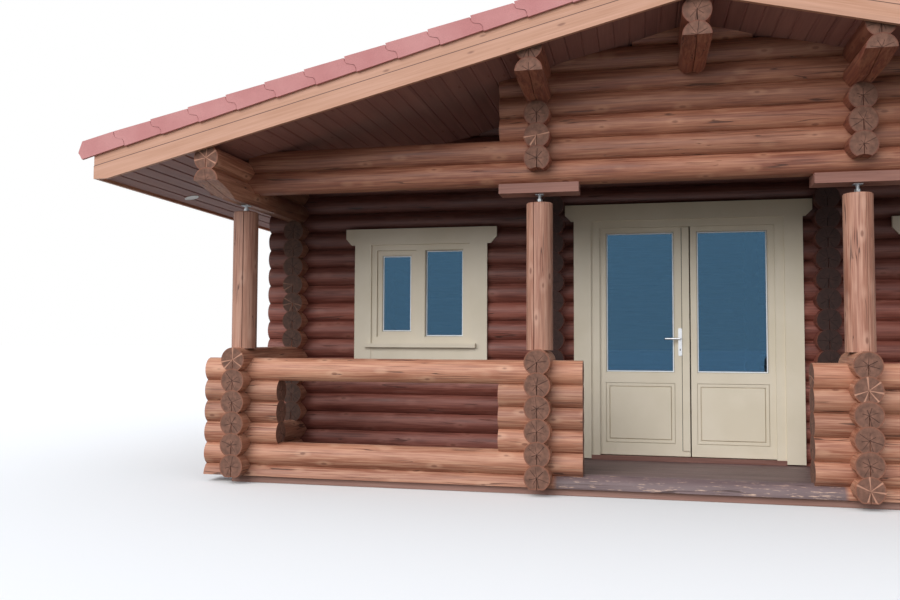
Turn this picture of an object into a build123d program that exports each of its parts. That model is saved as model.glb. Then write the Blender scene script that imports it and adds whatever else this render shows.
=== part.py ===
"""A gable-front round-log cabin with a full-width veranda under the extended roof.

Millimetres. X runs to the right along the front, Y runs into the building and Z is up.
The ridge stands over X = 0, the posts of the veranda stand on Y = 0 and the ground is Z = 0.
Each piece is moved along Y when it is written, so that the origin is the middle of the footprint.
"""
from build123d import *
from math import cos, radians, tan
import os

os.makedirs("parts", exist_ok=True)

# Logs
log_dia = 190
course = 165
kerf_w = 5
fit = 0.3
end_x = 285
end_y = 200
edge_joint_x = -2185

# Plan, axis to axis
corner_x = 3470
mid_x = 1100
porch_depth = 1160
house_depth = 4800

# Heights, counted in courses above the skirting
skirting_h = 55
skirting_w = 120
skirting_in = 20
rail_course = 4
plate_course = 13
purlin_course = 17
ridge_course = 18

# Veranda
corner_stub = 325
mid_stub = 300
entrance_half = 782
stack_back = 230
gable_past = 293
post_dia = 196
post_seat = 8
post_chamfer = 6
post_kerf_turns = {"left_corner": 14, "left_mid": -21, "right_mid": 20, "right_corner": -8}
jack_h = 58
jack_plate = 60
jack_plate_t = 6
jack_rod_dia = 24
jack_nut_af = 36
jack_nut_h = 18
jack_nut_up = 8
saddle_len = 590
saddle_w = 190
saddle_t = 72

# Floor and deck
floor_top = 80
deck_top = 64
board_t = 28
joist_w = 50
joist_pitch = 600
pocket_gap = 2

# Roof
roof_pitch = 13.75
eave_x = 4363
front_overhang = 712
back_overhang = 640
deck_t = 228
tile_t = 46
tile_course = 309
tile_step = 16
tile_past = 40
purlin_reach = 670
purlin_taper = 470
ridge_packer_half = 45
gable_lap = 20
beam_in = 60
barge_t = 28
barge_drop = 38
barge_h = 244
barge_lower_h = 123
barge_level_cut = 110
barge_lower_t = 32
verge_low = 166
verge_t = 22
verge_h = 128
verge_past = 120
verge_step = 8
verge_tip = 60
verge_flange = 130
verge_lift = 10
verge_seat = 2
fascia_t = 25
ridge_w = 150
ridge_t = 20
ridge_lap = 90

# Door set
door_half = 708
door_jamb = 72
door_top = 2030
door_head = 62
door_stop_t = 13
door_sill_top = 103
door_sill_h = 38
door_sill_out = 125
door_sill_in = 85
leaf_t = 60
leaf_gap = 6
leaf_lap = 7
meeting_x = 31
meeting_gap = 10
leaf_outer_stile = 57
leaf_meeting_stile = 58
leaf_top_rail = 47
lock_rail_low = 715
lock_rail_high = 800
leaf_bottom_rail = 102
glass_t = 24
panel_t = 30
panel_field = 12
panel_margin = 30
panel_slope = 30
strip_w = 60
strip_t = 10
strip_chamfer = 3
strip_low = 50
strip_high = 8
lever_x = -46
lever_z = 1087
lever_len = 118
lever_dia = 18
lever_neck = 42
lever_play = 0.6
lever_off = 1
spindle_dia = 9
spindle_past = 2
plate_w = 30
plate_h = 230
plate_t = 8
plate_r = 8
plate_low = 944
hinge_back = 8
hinge_dia = 14
hinge_h = 100
hinge_leaf_w = 34
hinge_leaf_t = 3
hinge_knuckle_gap = 1
hinge_heights = (330, 1080, 1830)

# Windows
window_x = 2290
window_w = 908
window_low = 1040
window_high = 1925
jamb_w = 50
fixed_jamb_w = 61
window_sill_w = 56
mullion_w = 83
light_w = 363
window_depth = 90
sash_w = 43
sash_t = 56
sash_set = 15
glass_set = 34
side_window_y = 3560

# Trim boards
trim_t = 28
door_trim_w = 145
door_trim_low = 75
window_trim_w = 155
window_trim_low = 850
head_h = 139
head_ear_h = 87
head_out = 75
head_chamfer = 52
window_head_h = 145
window_head_out = 85
apron_t = 22
nosing_h = 38
nosing_out = 45
nosing_lap = 55
frame_front = 105

# How far the cutting shapes run past what they cut
past = 10
through = 200
beyond = 500

# Worked out from the sizes above
R = log_dia / 2
base = skirting_h
wall_y = porch_depth
back_y = porch_depth + house_depth
front_edge = -front_overhang
back_edge = back_y + back_overhang
slope = tan(radians(roof_pitch))
lean = cos(radians(roof_pitch))
x_end = corner_x + end_x
face = R + fit


def x_axis(k):
    """Height of the axis of log k along X. These courses stand half a course above those along Y."""
    return base + (k + 1) * course


def y_axis(j):
    """Height of the axis of log j along Y."""
    return base + (j + 0.5) * course


soffit_z = y_axis(plate_course + 1) + face / lean + slope * corner_x


def roof_z(x, above=0):
    """Height at x of a plane that lies above the roof's underside, measured square to the slope."""
    return soffit_z - slope * abs(x) + above / lean


def gable_half(z):
    """Half the width of the gable at height z, under the roof."""
    return (soffit_z - fit - z) / slope


centre_y = (front_edge + back_edge) / 2


def keep(name, part):
    """Label a finished piece and write it with the origin in the middle of the footprint."""
    part.label = name
    placed = part.moved(Location((0, -centre_y, 0)))
    placed.label = name
    export_step(placed, f"parts/{name}.step")


def x_log(k, y, span, crossings):
    """Log k along X, scribed over the log under it and saddled over the crossing logs.

    A saw kerf runs from its axis to its underside, so that it dries without splitting its face.
    """
    z = x_axis(k)
    with BuildPart() as log:
        with BuildSketch(Plane.YZ.offset(span[0])):
            with Locations((y, z)):
                Circle(R)
            with Locations((y, z - course)):
                Circle(face, mode=Mode.SUBTRACT)
            with Locations((y, z - R / 2)):
                Rectangle(kerf_w, R, mode=Mode.SUBTRACT)
        extrude(amount=span[1] - span[0])
        for x in crossings:
            with Locations(Location((x, y, z - course / 2), (90, 0, 0))):
                Cylinder(face, 3 * log_dia, mode=Mode.SUBTRACT)
    return log.part


def y_log(j, x, span, crossings):
    """Log j along Y, shaped in the same way."""
    z = y_axis(j)
    with BuildPart() as log:
        with BuildSketch(Plane.XZ.offset(-span[1])):
            with Locations((x, z)):
                Circle(R)
            if j > 0:
                with Locations((x, z - course)):
                    Circle(face, mode=Mode.SUBTRACT)
            else:
                with Locations((x, base - R)):
                    Rectangle(2 * log_dia, 2 * R, mode=Mode.SUBTRACT)
            with Locations((x, z - R / 2)):
                Rectangle(kerf_w, R, mode=Mode.SUBTRACT)
        extrude(amount=span[1] - span[0])
        for y in crossings:
            with Locations(Location((x, y, z - course / 2), (0, 90, 0))):
                Cylinder(face, 3 * log_dia, mode=Mode.SUBTRACT)
    return log.part


def half_log(y, span):
    """The first log of a wall along X is half a log, flat on the skirting."""
    with BuildPart() as log:
        with BuildSketch(Plane.YZ.offset(span[0])):
            with Locations((y, base)):
                Circle(R)
            with Locations((y, base - R)):
                Rectangle(2 * log_dia, 2 * R, mode=Mode.SUBTRACT)
        extrude(amount=span[1] - span[0])
    return log.part


def copies(log, steps):
    """The same log again, a number of courses higher."""
    return [log.moved(Location((0, 0, step * course))) for step in steps]


# What lies above the underside of the roof, to cut the logs that reach it
with BuildPart() as above_roof:
    with BuildSketch(Plane.XZ.offset(-back_edge - beyond)):
        with BuildLine():
            Polyline(
                (-eave_x - beyond, roof_z(eave_x + beyond) - fit),
                (0, soffit_z - fit),
                (eave_x + beyond, roof_z(eave_x + beyond) - fit),
                (eave_x + beyond, soffit_z + beyond),
                (-eave_x - beyond, soffit_z + beyond),
                close=True,
            )
        make_face()
    extrude(amount=back_edge - front_edge + 2 * beyond)


def joined(pieces, cutters=()):
    """One node of separate logs, less the cutters."""
    with BuildPart() as node:
        add(pieces)
        for cutter in cutters:
            add(cutter, mode=Mode.SUBTRACT)
    return node.part


def block(x, y, z):
    """A box given by its low and high sides."""
    with BuildPart() as box:
        with Locations(((x[0] + x[1]) / 2, (y[0] + y[1]) / 2, (z[0] + z[1]) / 2)):
            Box(x[1] - x[0], y[1] - y[0], z[1] - z[0])
    return box.part


# Skirting boards under the first logs, round the house and the veranda
with BuildPart() as skirting:
    for y in (0, wall_y, back_y):
        with Locations((0, y, skirting_h / 2)):
            Box(2 * (x_end - skirting_in), skirting_w, skirting_h)
    for x in (-corner_x, corner_x):
        with Locations((x, back_y / 2, skirting_h / 2)):
            Box(skirting_w, back_y + skirting_w, skirting_h)
keep("skirting", skirting.part)

# Front wall, with the doorway and two windows cut through it
door_open = door_half + door_jamb + fit
window_open = window_w / 2 + fit
corners = (-corner_x, corner_x)
wall_crossings = (-corner_x, -mid_x, mid_x, corner_x)
wall_span = (-x_end, x_end)


def window_cutter(x):
    """The hole of a window in a wall along X, made round Y = 0."""
    z = (base + window_low - fit, base + window_high + fit)
    return block((x - window_open, x + window_open), (-through, through), z)


def wall_along_x(y):
    """The full courses of a wall from side to side, up to the wall plates."""
    first = x_log(0, y, wall_span, wall_crossings)
    return [half_log(y, wall_span)] + copies(first, range(plate_course))


door_cutter = block(
    (-door_open, door_open),
    (-through, through),
    (base + door_sill_top - door_sill_h, base + door_top + door_head + fit),
)
window_cutters = [window_cutter(-window_x), window_cutter(window_x)]
front_cutters = [cutter.moved(Location((0, wall_y, 0))) for cutter in [door_cutter] + window_cutters]
back_cutters = [cutter.moved(Location((0, back_y, 0))) for cutter in window_cutters]
keep("front_wall", joined(wall_along_x(wall_y), front_cutters))
keep("back_wall", joined(wall_along_x(back_y), back_cutters))


# Side walls. Three logs of each run on to the front of the veranda as its side rails
def side_wall(x):
    wall_start = wall_y - end_y
    wall_end = back_y + end_y
    rails = y_log(1, x, (-end_y, wall_end), (0, wall_y, back_y))
    logs = [y_log(0, x, (-end_y, wall_end), (0, wall_y, back_y)), rails]
    logs += copies(rails, [rail_course])
    plain = y_log(2, x, (wall_start, wall_end), (wall_y, back_y))
    logs += copies(plain, range(rail_course - 1))
    logs += copies(plain, range(rail_course, plate_course - 2))
    window = block(
        (x - through, x + through),
        (side_window_y - window_open, side_window_y + window_open),
        (base + window_low - fit, base + window_high + fit),
    )
    post_hole = post_cutter(x)
    return joined(logs, [window, post_hole])


def post_cutter(x):
    """The flat seat of a post on the log under it."""
    low = y_axis(rail_course + 1) + R - post_seat - fit
    with BuildPart() as seat:
        with BuildSketch(Plane.XY.offset(low)):
            with Locations((x, 0)):
                Circle(post_dia / 2 + fit)
        extrude(amount=R)
    return seat.part


keep("left_wall", side_wall(-corner_x))
keep("right_wall", side_wall(corner_x))


# Wall plates and purlins reach past both gables. The lower log of each pair is tapered under its ends
def purlin(x, low_course, seats):
    front = -purlin_reach
    back = back_y + back_overhang - (front_overhang - purlin_reach)
    lower = y_log(low_course, x, (front, back), seats[0])
    upper = y_log(low_course + 1, x, (front, back), seats[1])
    axis = y_axis(low_course)
    with BuildPart() as tapers:
        with BuildSketch(Plane.YZ.offset(x - log_dia)):
            for end, way in ((front, 1), (back, -1)):
                with BuildLine():
                    Polyline(
                        (end - way * past, axis),
                        (end, axis),
                        (end + way * purlin_taper, axis - R - past),
                        (end - way * past, axis - R - past),
                        close=True,
                    )
                make_face()
        extrude(amount=2 * log_dia)
    return joined([lower, upper], [tapers.part, above_roof.part])


all_walls = (0, wall_y, back_y)
house_walls = (wall_y, back_y)
keep("left_plate", purlin(-corner_x, plate_course, (house_walls, all_walls)))
keep("right_plate", purlin(corner_x, plate_course, (house_walls, all_walls)))
keep("left_purlin", purlin(-mid_x, purlin_course, (all_walls, all_walls)))
keep("right_purlin", purlin(mid_x, purlin_course, (all_walls, all_walls)))

# The ridge purlin carries a packing piece up to the two slopes of the roof
packer_low = y_axis(ridge_course + 1) + R / 2
with BuildPart() as ridge_packer:
    with BuildSketch(Plane.XZ.offset(-back_edge + front_overhang - purlin_reach)):
        with BuildLine():
            Polyline(
                (-ridge_packer_half, packer_low),
                (-ridge_packer_half, roof_z(ridge_packer_half) - fit),
                (0, soffit_z - fit),
                (ridge_packer_half, roof_z(ridge_packer_half) - fit),
                (ridge_packer_half, packer_low),
                close=True,
            )
        make_face()
    extrude(amount=back_edge - front_overhang + 2 * purlin_reach)
keep("ridge_purlin", joined([purlin(0, ridge_course, (all_walls, all_walls)), ridge_packer.part]))
packer_cutter = block(
    (-ridge_packer_half - fit, ridge_packer_half + fit),
    (front_edge, back_edge),
    (packer_low, soffit_z + beyond),
)


# Gables
def gable_logs(y, first_course, half_width=None):
    """Logs of a gable from first_course up, cut by the roof or square at half_width."""
    logs = []
    for k in range(first_course, ridge_course + 2):
        reach = gable_half(x_axis(k) - course / 2 + gable_lap)
        crossings = []
        if k == plate_course:
            reach = x_end
        if k == plate_course + 1:
            reach = corner_x - beam_in
        if k <= plate_course + 1:
            crossings += list(corners)
        if half_width is not None and k > plate_course + 1:
            reach = min(reach, half_width)
        if plate_course + (half_width is not None) <= k <= purlin_course + 1:
            crossings += [-mid_x, mid_x]
        if k >= ridge_course:
            crossings += [0]
        logs.append(x_log(k, y, (-reach, reach), crossings))
    return joined(logs, [above_roof.part, packer_cutter])


keep("front_gable", gable_logs(wall_y, plate_course))
keep("back_gable", gable_logs(back_y, plate_course))
keep("porch_gable", gable_logs(0, plate_course, mid_x + gable_past))


# Short crossing logs whose ends show beside the door, and on the back wall
def stubs(x, span, courses, y, first_is_flat):
    logs = []
    if first_is_flat:
        logs.append(y_log(0, x, span, (y,)))
        courses = courses[1:]
    one = y_log(1, x, span, (y,))
    logs += copies(one, [j - 1 for j in courses])
    return logs


stack_span = (-end_y, stack_back)
gable_courses = range(plate_course + 1, purlin_course)
for name, y in (("front", wall_y), ("back", back_y)):
    cross_logs = []
    for x in (-mid_x, mid_x):
        cross_logs += stubs(x, (y - end_y, y + end_y), range(purlin_course), y, True)
    keep(f"{name}_cross_logs", joined(cross_logs))
gable_stubs = []
for side, x in (("left", -mid_x), ("right", mid_x)):
    stack = stubs(x, stack_span, range(rail_course + 2), 0, True)
    keep(f"{side}_stack", joined(stack, [post_cutter(x)]))
    gable_stubs += stubs(x, stack_span, gable_courses, 0, False)
keep("porch_gable_cross_logs", joined(gable_stubs))

# Stubs of the side rails, at the front corners of the veranda
corner_cross = []
for x in corners:
    corner_cross += copies(y_log(2, x, stack_span, (0,)), range(rail_course - 1))
keep("corner_cross_logs", joined(corner_cross))


# Balustrades on each side of the entrance, and the half log that runs right across it
def balustrade(side):
    outer = side * x_end
    inner = side * entrance_half
    whole = (min(outer, inner), max(outer, inner))
    crossings = (side * corner_x, side * mid_x)
    rail = x_log(0, 0, whole, crossings)
    outer_stub = sorted((outer, side * (corner_x - corner_stub)))
    inner_stub = sorted((side * (mid_x + mid_stub), inner))
    logs = copies(rail, [0, rail_course])
    logs += copies(x_log(1, 0, outer_stub, crossings[:1]), range(rail_course - 1))
    logs += copies(x_log(1, 0, inner_stub, crossings[1:]), range(rail_course - 1))
    return joined(logs, [post_cutter(side * corner_x), post_cutter(side * mid_x)])


keep("left_balustrade", balustrade(-1))
keep("right_balustrade", balustrade(1))
edge_spans = ((-x_end, edge_joint_x - fit), (edge_joint_x, x_end))
keep("deck_edge_log", joined([half_log(0, span) for span in edge_spans]))

# Posts stand on the stacks. Screw jacks on top of them let the building settle
post_low = y_axis(rail_course + 1) + R - post_seat
beam_low = x_axis(plate_course) - course / 2
saddle_low = beam_low - fit - saddle_t
plate_seat = y_axis(plate_course) - course / 2
post_high = plate_seat - jack_h
posts = (
    ("left_corner", -corner_x, plate_seat),
    ("left_mid", -mid_x, saddle_low),
    ("right_mid", mid_x, saddle_low),
    ("right_corner", corner_x, plate_seat),
)
for name, x, _ in posts:
    kerf_turn = post_kerf_turns[name]
    with BuildPart() as post:
        with BuildSketch(Plane.XY.offset(post_low)):
            with Locations((x, 0)):
                Circle(post_dia / 2)
        extrude(amount=post_high - post_low)
        chamfer(post.edges().group_by(Axis.Z)[-1], post_chamfer)
        with BuildSketch(Plane.XY.offset(post_low)):
            with Locations(Location((x, 0, 0), (0, 0, kerf_turn))):
                with Locations((0, -post_dia / 2)):
                    Rectangle(kerf_w, post_dia)
        extrude(amount=post_high - post_low, mode=Mode.SUBTRACT)
    keep(f"{name}_post", post.part)

with BuildPart() as jacks:
    for _, x, seat in posts:
        for z in (post_high, seat - jack_plate_t - fit):
            with Locations((x, 0, z + jack_plate_t / 2)):
                Box(jack_plate, jack_plate, jack_plate_t)
        with BuildSketch(Plane.XY.offset(post_high + jack_plate_t)):
            with Locations((x, 0)):
                Circle(jack_rod_dia / 2)
        extrude(amount=seat - post_high - 2 * jack_plate_t - fit)
        with BuildSketch(Plane.XY.offset(post_high + jack_plate_t + jack_nut_up)):
            with Locations((x, 0)):
                RegularPolygon(jack_nut_af / 2, 6, major_radius=False)
        extrude(amount=jack_nut_h)
keep("post_jacks", jacks.part)

with BuildPart() as saddles:
    for x in (-mid_x, mid_x):
        with Locations((x, 0, saddle_low + saddle_t / 2)):
            Box(saddle_len, saddle_w, saddle_t)
keep("beam_saddles", saddles.part)


# Floor of the house and deck of the veranda, on joists that rest on the ground
def boarding(y0, y1, top, pockets):
    with BuildPart() as boards:
        with Locations((0, (y0 + y1) / 2, base + top - board_t / 2)):
            Box(2 * (corner_x - face), y1 - y0, board_t)
        for x, low, high in pockets:
            with Locations((x, (low + high) / 2, base + top)):
                Box(log_dia + 2 * pocket_gap, high - low, 3 * board_t, mode=Mode.SUBTRACT)
    return boards.part


def joists(y0, y1, top, pockets):
    count = int(2 * (corner_x - R - joist_w) // joist_pitch)
    with BuildPart() as bars:
        for i in range(count + 1):
            x = (i - count / 2) * joist_pitch
            with Locations((x, (y0 + y1) / 2, (base + top - board_t) / 2)):
                Box(joist_w, y1 - y0, base + top - board_t)
        for x, low, high in pockets:
            with Locations((x, (low + high) / 2, base + top)):
                Box(log_dia + 2 * pocket_gap, high - low, 4 * base, mode=Mode.SUBTRACT)
    return bars.part


deck_span = (face, wall_y - face)
floor_span = (wall_y + face, back_y - face)
deck_pockets = [(x, 0, stack_back + pocket_gap) for x in (-mid_x, mid_x)]
deck_pockets += [(x, wall_y - end_y - pocket_gap, wall_y) for x in (-mid_x, mid_x)]
floor_pockets = [(x, wall_y, wall_y + end_y + pocket_gap) for x in (-mid_x, mid_x)]
floor_pockets += [(x, back_y - end_y - pocket_gap, back_y) for x in (-mid_x, mid_x)]
keep("deck_boards", boarding(*deck_span, deck_top, deck_pockets))
keep("floor_boards", boarding(*floor_span, floor_top, floor_pockets))
bars = [joists(*deck_span, deck_top, deck_pockets), joists(*floor_span, floor_top, floor_pockets)]
keep("joists", joined(bars))


# Roof. Each slope is a boarded deck with a layer of interlocking tiles on it
def roof_slab(side, low, high, y0, y1, reach):
    """A slab of one slope between two heights square to the slope."""
    with BuildPart() as slab:
        with BuildSketch(Plane.XZ.offset(-y1)):
            with BuildLine():
                Polyline(
                    (side * fit, roof_z(0, low)),
                    (side * reach, roof_z(reach, low)),
                    (side * reach, roof_z(reach, high)),
                    (side * fit, roof_z(0, high)),
                    close=True,
                )
            make_face()
        extrude(amount=y1 - y0)
    return slab.part


def tile_slab(side):
    """The tiles step up at each course, from the eave to the ridge."""
    y0 = front_edge
    y1 = back_edge
    eave = eave_x + tile_past
    step_x = tile_course * lean
    count = int((eave - ridge_w + ridge_lap) // step_x)
    points = [(fit, roof_z(fit, deck_t + fit)), (eave, roof_z(eave, deck_t + fit))]
    for i in range(count):
        low_x = eave - i * step_x
        points.append((low_x, roof_z(low_x, deck_t + tile_t)))
        points.append((low_x - step_x, roof_z(low_x - step_x, deck_t + tile_t - tile_step)))
    points.append((fit, roof_z(fit, deck_t + tile_t - tile_step)))
    with BuildPart() as tiles:
        with BuildSketch(Plane.XZ.offset(-y1)):
            with BuildLine():
                Polyline([(side * x, z) for x, z in points], close=True)
            make_face()
        extrude(amount=y1 - y0)
    return tiles.part


def verge(side, y_face, way):
    """Overlapping verge covers along one end of a slope, from the eave tip to the ridge."""
    tip = eave_x + verge_past
    step_x = tile_course * lean
    count = int(tip // step_x)
    lower = []
    upper = []
    for i in range(count + 1):
        x0 = tip - i * step_x
        x1 = max(x0 - step_x, fit)
        z0 = roof_z(x0) + verge_low
        z1 = roof_z(x1) + verge_low
        lower += [(x0, z0 - verge_step), (x1, z1)]
        upper += [(x0, z0 + verge_h), (x1, z1 + verge_h - verge_step)]
    outline = lower + upper[::-1]
    outer = sorted((y_face, y_face + way * verge_t))
    flange = sorted((y_face, y_face - way * verge_flange))
    with BuildPart() as cover:
        with BuildSketch(Plane.XZ.offset(-outer[1])):
            with BuildLine():
                Polyline([(side * x, z) for x, z in outline], close=True)
            make_face()
        extrude(amount=outer[1] - outer[0])
        top = deck_t + tile_t + verge_seat
        with BuildSketch(Plane.XZ.offset(-flange[1])):
            with BuildLine():
                Polyline(
                    (side * fit, roof_z(fit, top)),
                    (side * (tip - verge_tip), roof_z(tip - verge_tip, top)),
                    (side * (tip - verge_tip), roof_z(tip - verge_tip, top + verge_lift)),
                    (side * fit, roof_z(fit, top + verge_lift)),
                    close=True,
                )
            make_face()
        extrude(amount=flange[1] - flange[0])
    return cover.part


# Nothing of a bargeboard hangs lower than the fascias at the eaves, so its end is cut level
fascia_low = roof_z(eave_x - barge_level_cut) - barge_drop


def bargeboard(side, y_back, way, low, high, thickness):
    """One board of the pair that closes an end of the roof, between two heights over its underside."""
    y0, y1 = sorted((y_back, y_back + way * thickness))
    with BuildPart() as board:
        with BuildSketch(Plane.XZ.offset(-y1)):
            with BuildLine():
                Polyline(
                    (side * fit, soffit_z + low),
                    (side * eave_x, roof_z(eave_x) + low),
                    (side * eave_x, roof_z(eave_x) + high),
                    (side * fit, soffit_z + high),
                    close=True,
                )
            make_face()
            with Locations((0, fascia_low - beyond / 2)):
                Rectangle(2 * eave_x + past, beyond, mode=Mode.SUBTRACT)
        extrude(amount=y1 - y0)
    return board.part


def bargeboards(y_back, way):
    """A lower board on each slope, and over it a thinner one that the verge covers."""
    boards = []
    seam = barge_lower_h - barge_drop
    for side in (-1, 1):
        boards.append(bargeboard(side, y_back, way, -barge_drop, seam, barge_lower_t))
        boards.append(bargeboard(side, y_back, way, seam + fit, barge_h - barge_drop, barge_t))
    return joined(boards)


roof_y = (front_edge + barge_t + fit, back_edge - barge_t - fit)
eave_inner = eave_x - fascia_t - fit
for name, side in (("left", -1), ("right", 1)):
    keep(f"{name}_roof_deck", roof_slab(side, 0, deck_t, *roof_y, eave_inner))
    keep(f"{name}_roof_tiles", tile_slab(side))
keep("front_bargeboards", bargeboards(front_edge + barge_t, -1))
keep("back_bargeboards", bargeboards(back_edge - barge_t, 1))
keep("front_verge", joined([verge(side, front_edge - fit, -1) for side in (-1, 1)]))
keep("back_verge", joined([verge(side, back_edge + fit, 1) for side in (-1, 1)]))

with BuildPart() as fascias:
    for side in (-1, 1):
        with BuildSketch(Plane.XZ.offset(-roof_y[1])):
            with BuildLine():
                Polyline(
                    (side * (eave_x - fascia_t), fascia_low),
                    (side * eave_x, fascia_low),
                    (side * eave_x, roof_z(eave_x, deck_t)),
                    (side * (eave_x - fascia_t), roof_z(eave_x - fascia_t, deck_t)),
                    close=True,
                )
            make_face()
        extrude(amount=roof_y[1] - roof_y[0])
keep("eave_fascias", fascias.part)

# Ridge capping, an inverted shallow V over the joint of the two slopes
ridge_low = deck_t + tile_t + verge_seat + verge_lift + fit
with BuildPart() as ridge_cap:
    with BuildSketch(Plane.XZ.offset(-back_edge)):
        with BuildLine():
            Polyline(
                (-ridge_w, roof_z(ridge_w, ridge_low)),
                (0, roof_z(0, ridge_low)),
                (ridge_w, roof_z(ridge_w, ridge_low)),
                (ridge_w, roof_z(ridge_w, ridge_low + ridge_t)),
                (0, roof_z(0, ridge_low + ridge_t)),
                (-ridge_w, roof_z(ridge_w, ridge_low + ridge_t)),
                close=True,
            )
        make_face()
    extrude(amount=back_edge - front_edge)
keep("ridge_cap", ridge_cap.part)


# Trim, frame and glass of a window, made on the plane of a wall's axis and facing -Y
def head_board(half, low, high):
    """A head board whose lower corners are cut off at an angle under its ears."""
    with BuildPart() as head:
        with BuildSketch(Plane.XZ.offset(face)):
            with BuildLine():
                Polyline(
                    (-half, high),
                    (half, high),
                    (half, high - head_ear_h),
                    (half - head_chamfer, low),
                    (-half + head_chamfer, low),
                    (-half, high - head_ear_h),
                    close=True,
                )
            make_face()
        extrude(amount=trim_t)
    return head.part


def trim_boards(half, width, low, high):
    """Two upright trim boards."""
    with BuildPart() as boards:
        for side in (-1, 1):
            with BuildSketch(Plane.XZ.offset(face)):
                with Locations((side * (half + width / 2), (low + high) / 2)):
                    Rectangle(width, high - low)
            extrude(amount=trim_t)
    return boards.part


def window_trim():
    half = window_w / 2
    low = base + window_low
    high = base + window_high
    with BuildPart() as trim:
        add(trim_boards(half, window_trim_w, base + window_trim_low, high))
        add(head_board(half + window_trim_w + window_head_out, high, high + window_head_h))
        with BuildSketch(Plane.XZ.offset(face)):
            with Locations((0, (low + base + window_trim_low) / 2)):
                Rectangle(window_w, low - base - window_trim_low)
        extrude(amount=apron_t)
        with BuildSketch(Plane.XZ.offset(face + apron_t)):
            with Locations((0, low - nosing_h / 2)):
                Rectangle(window_w + 2 * nosing_lap, nosing_h)
        extrude(amount=nosing_out)
    return trim.part


def window_frame():
    """The fixed frame with its mullion. The narrower light holds a sash."""
    half = window_w / 2
    low = base + window_low
    high = base + window_high
    with BuildPart() as frame:
        with BuildSketch(Plane.XZ.offset(frame_front - window_depth)):
            with Locations((0, (low + high) / 2)):
                Rectangle(window_w, high - low)
            inner_low = low + window_sill_w
            inner_high = high - jamb_w
            left = (-half + jamb_w, -half + jamb_w + light_w)
            right = (left[1] + mullion_w, half - fixed_jamb_w)
            for x0, x1 in (left, right):
                with Locations(((x0 + x1) / 2, (inner_low + inner_high) / 2)):
                    Rectangle(x1 - x0, inner_high - inner_low, mode=Mode.SUBTRACT)
        extrude(amount=window_depth)
        inner_h = inner_high - inner_low
        with BuildSketch(Plane.XZ.offset(frame_front - window_depth + sash_set)):
            with Locations(((left[0] + left[1]) / 2, (inner_low + inner_high) / 2)):
                Rectangle(light_w - 2 * fit, inner_h - 2 * fit)
                Rectangle(light_w - 2 * sash_w, inner_h - 2 * sash_w, mode=Mode.SUBTRACT)
        extrude(amount=sash_t)
    return frame.part


def window_glass():
    """Sealed double glazing: one unit in the sash and one in the fixed light."""
    half = window_w / 2
    low = base + window_low + window_sill_w
    high = base + window_high - jamb_w
    left = -half + jamb_w
    right = left + light_w + mullion_w
    panes = (
        (left + sash_w, left + light_w - sash_w, low + sash_w, high - sash_w),
        (right, half - fixed_jamb_w, low, high),
    )
    with BuildPart() as glass:
        with BuildSketch(Plane.XZ.offset(frame_front - window_depth + glass_set)):
            for x0, x1, z0, z1 in panes:
                with Locations(((x0 + x1) / 2, (z0 + z1) / 2)):
                    Rectangle(x1 - x0 - 2 * fit, z1 - z0 - 2 * fit)
        extrude(amount=glass_t)
    return glass.part


front_places = [Location((x, wall_y, 0)) for x in (-window_x, window_x)]
other_places = [Location((x, back_y, 0), (0, 0, 180)) for x in (-window_x, window_x)]
other_places += [Location((side * corner_x, side_window_y, 0), (0, 0, side * 90)) for side in (-1, 1)]
window_pieces = (("trim", window_trim()), ("frames", window_frame()), ("glass", window_glass()))
for name, piece in window_pieces:
    keep(f"front_window_{name}", joined([piece.moved(place) for place in front_places]))
    keep(f"other_window_{name}", joined([piece.moved(place) for place in other_places]))

# Door set
jamb_out = door_half + door_jamb
rebate = door_half + leaf_lap + leaf_gap
leaf_front = wall_y - frame_front + door_stop_t + leaf_gap
leaf_back = leaf_front + leaf_t
frame_face = wall_y - frame_front
sill_z = base + door_sill_top
with BuildPart() as door_frame:
    with BuildSketch(Plane.XZ.offset(-frame_face - door_stop_t)):
        with Locations((0, (sill_z + base + door_top + door_head) / 2)):
            Rectangle(2 * jamb_out, base + door_top + door_head - sill_z)
        with Locations((0, (sill_z + base + door_top) / 2)):
            Rectangle(2 * door_half, base + door_top - sill_z, mode=Mode.SUBTRACT)
    extrude(amount=door_stop_t)
    with BuildSketch(Plane.XZ.offset(-leaf_back)):
        with Locations((0, (sill_z + base + door_top + door_head) / 2)):
            Rectangle(2 * jamb_out, base + door_top + door_head - sill_z)
        with Locations((0, (sill_z + base + door_top + leaf_lap + leaf_gap) / 2)):
            Rectangle(2 * rebate, base + door_top + leaf_lap + leaf_gap - sill_z, mode=Mode.SUBTRACT)
    extrude(amount=leaf_back - frame_face - door_stop_t)
keep("door_frame", door_frame.part)

with BuildPart() as door_trim:
    add(trim_boards(jamb_out, door_trim_w, base + door_trim_low, base + door_top + door_head))
    head_low = base + door_top + door_head
    add(head_board(jamb_out + door_trim_w + head_out, head_low, head_low + head_h))
keep("door_trim", door_trim.part.moved(Location((0, wall_y, 0))))

keep(
    "door_sill",
    block(
        (-jamb_out, jamb_out),
        (wall_y - door_sill_out, wall_y + door_sill_in),
        (sill_z - door_sill_h + fit, sill_z - fit),
    ),
)


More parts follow.
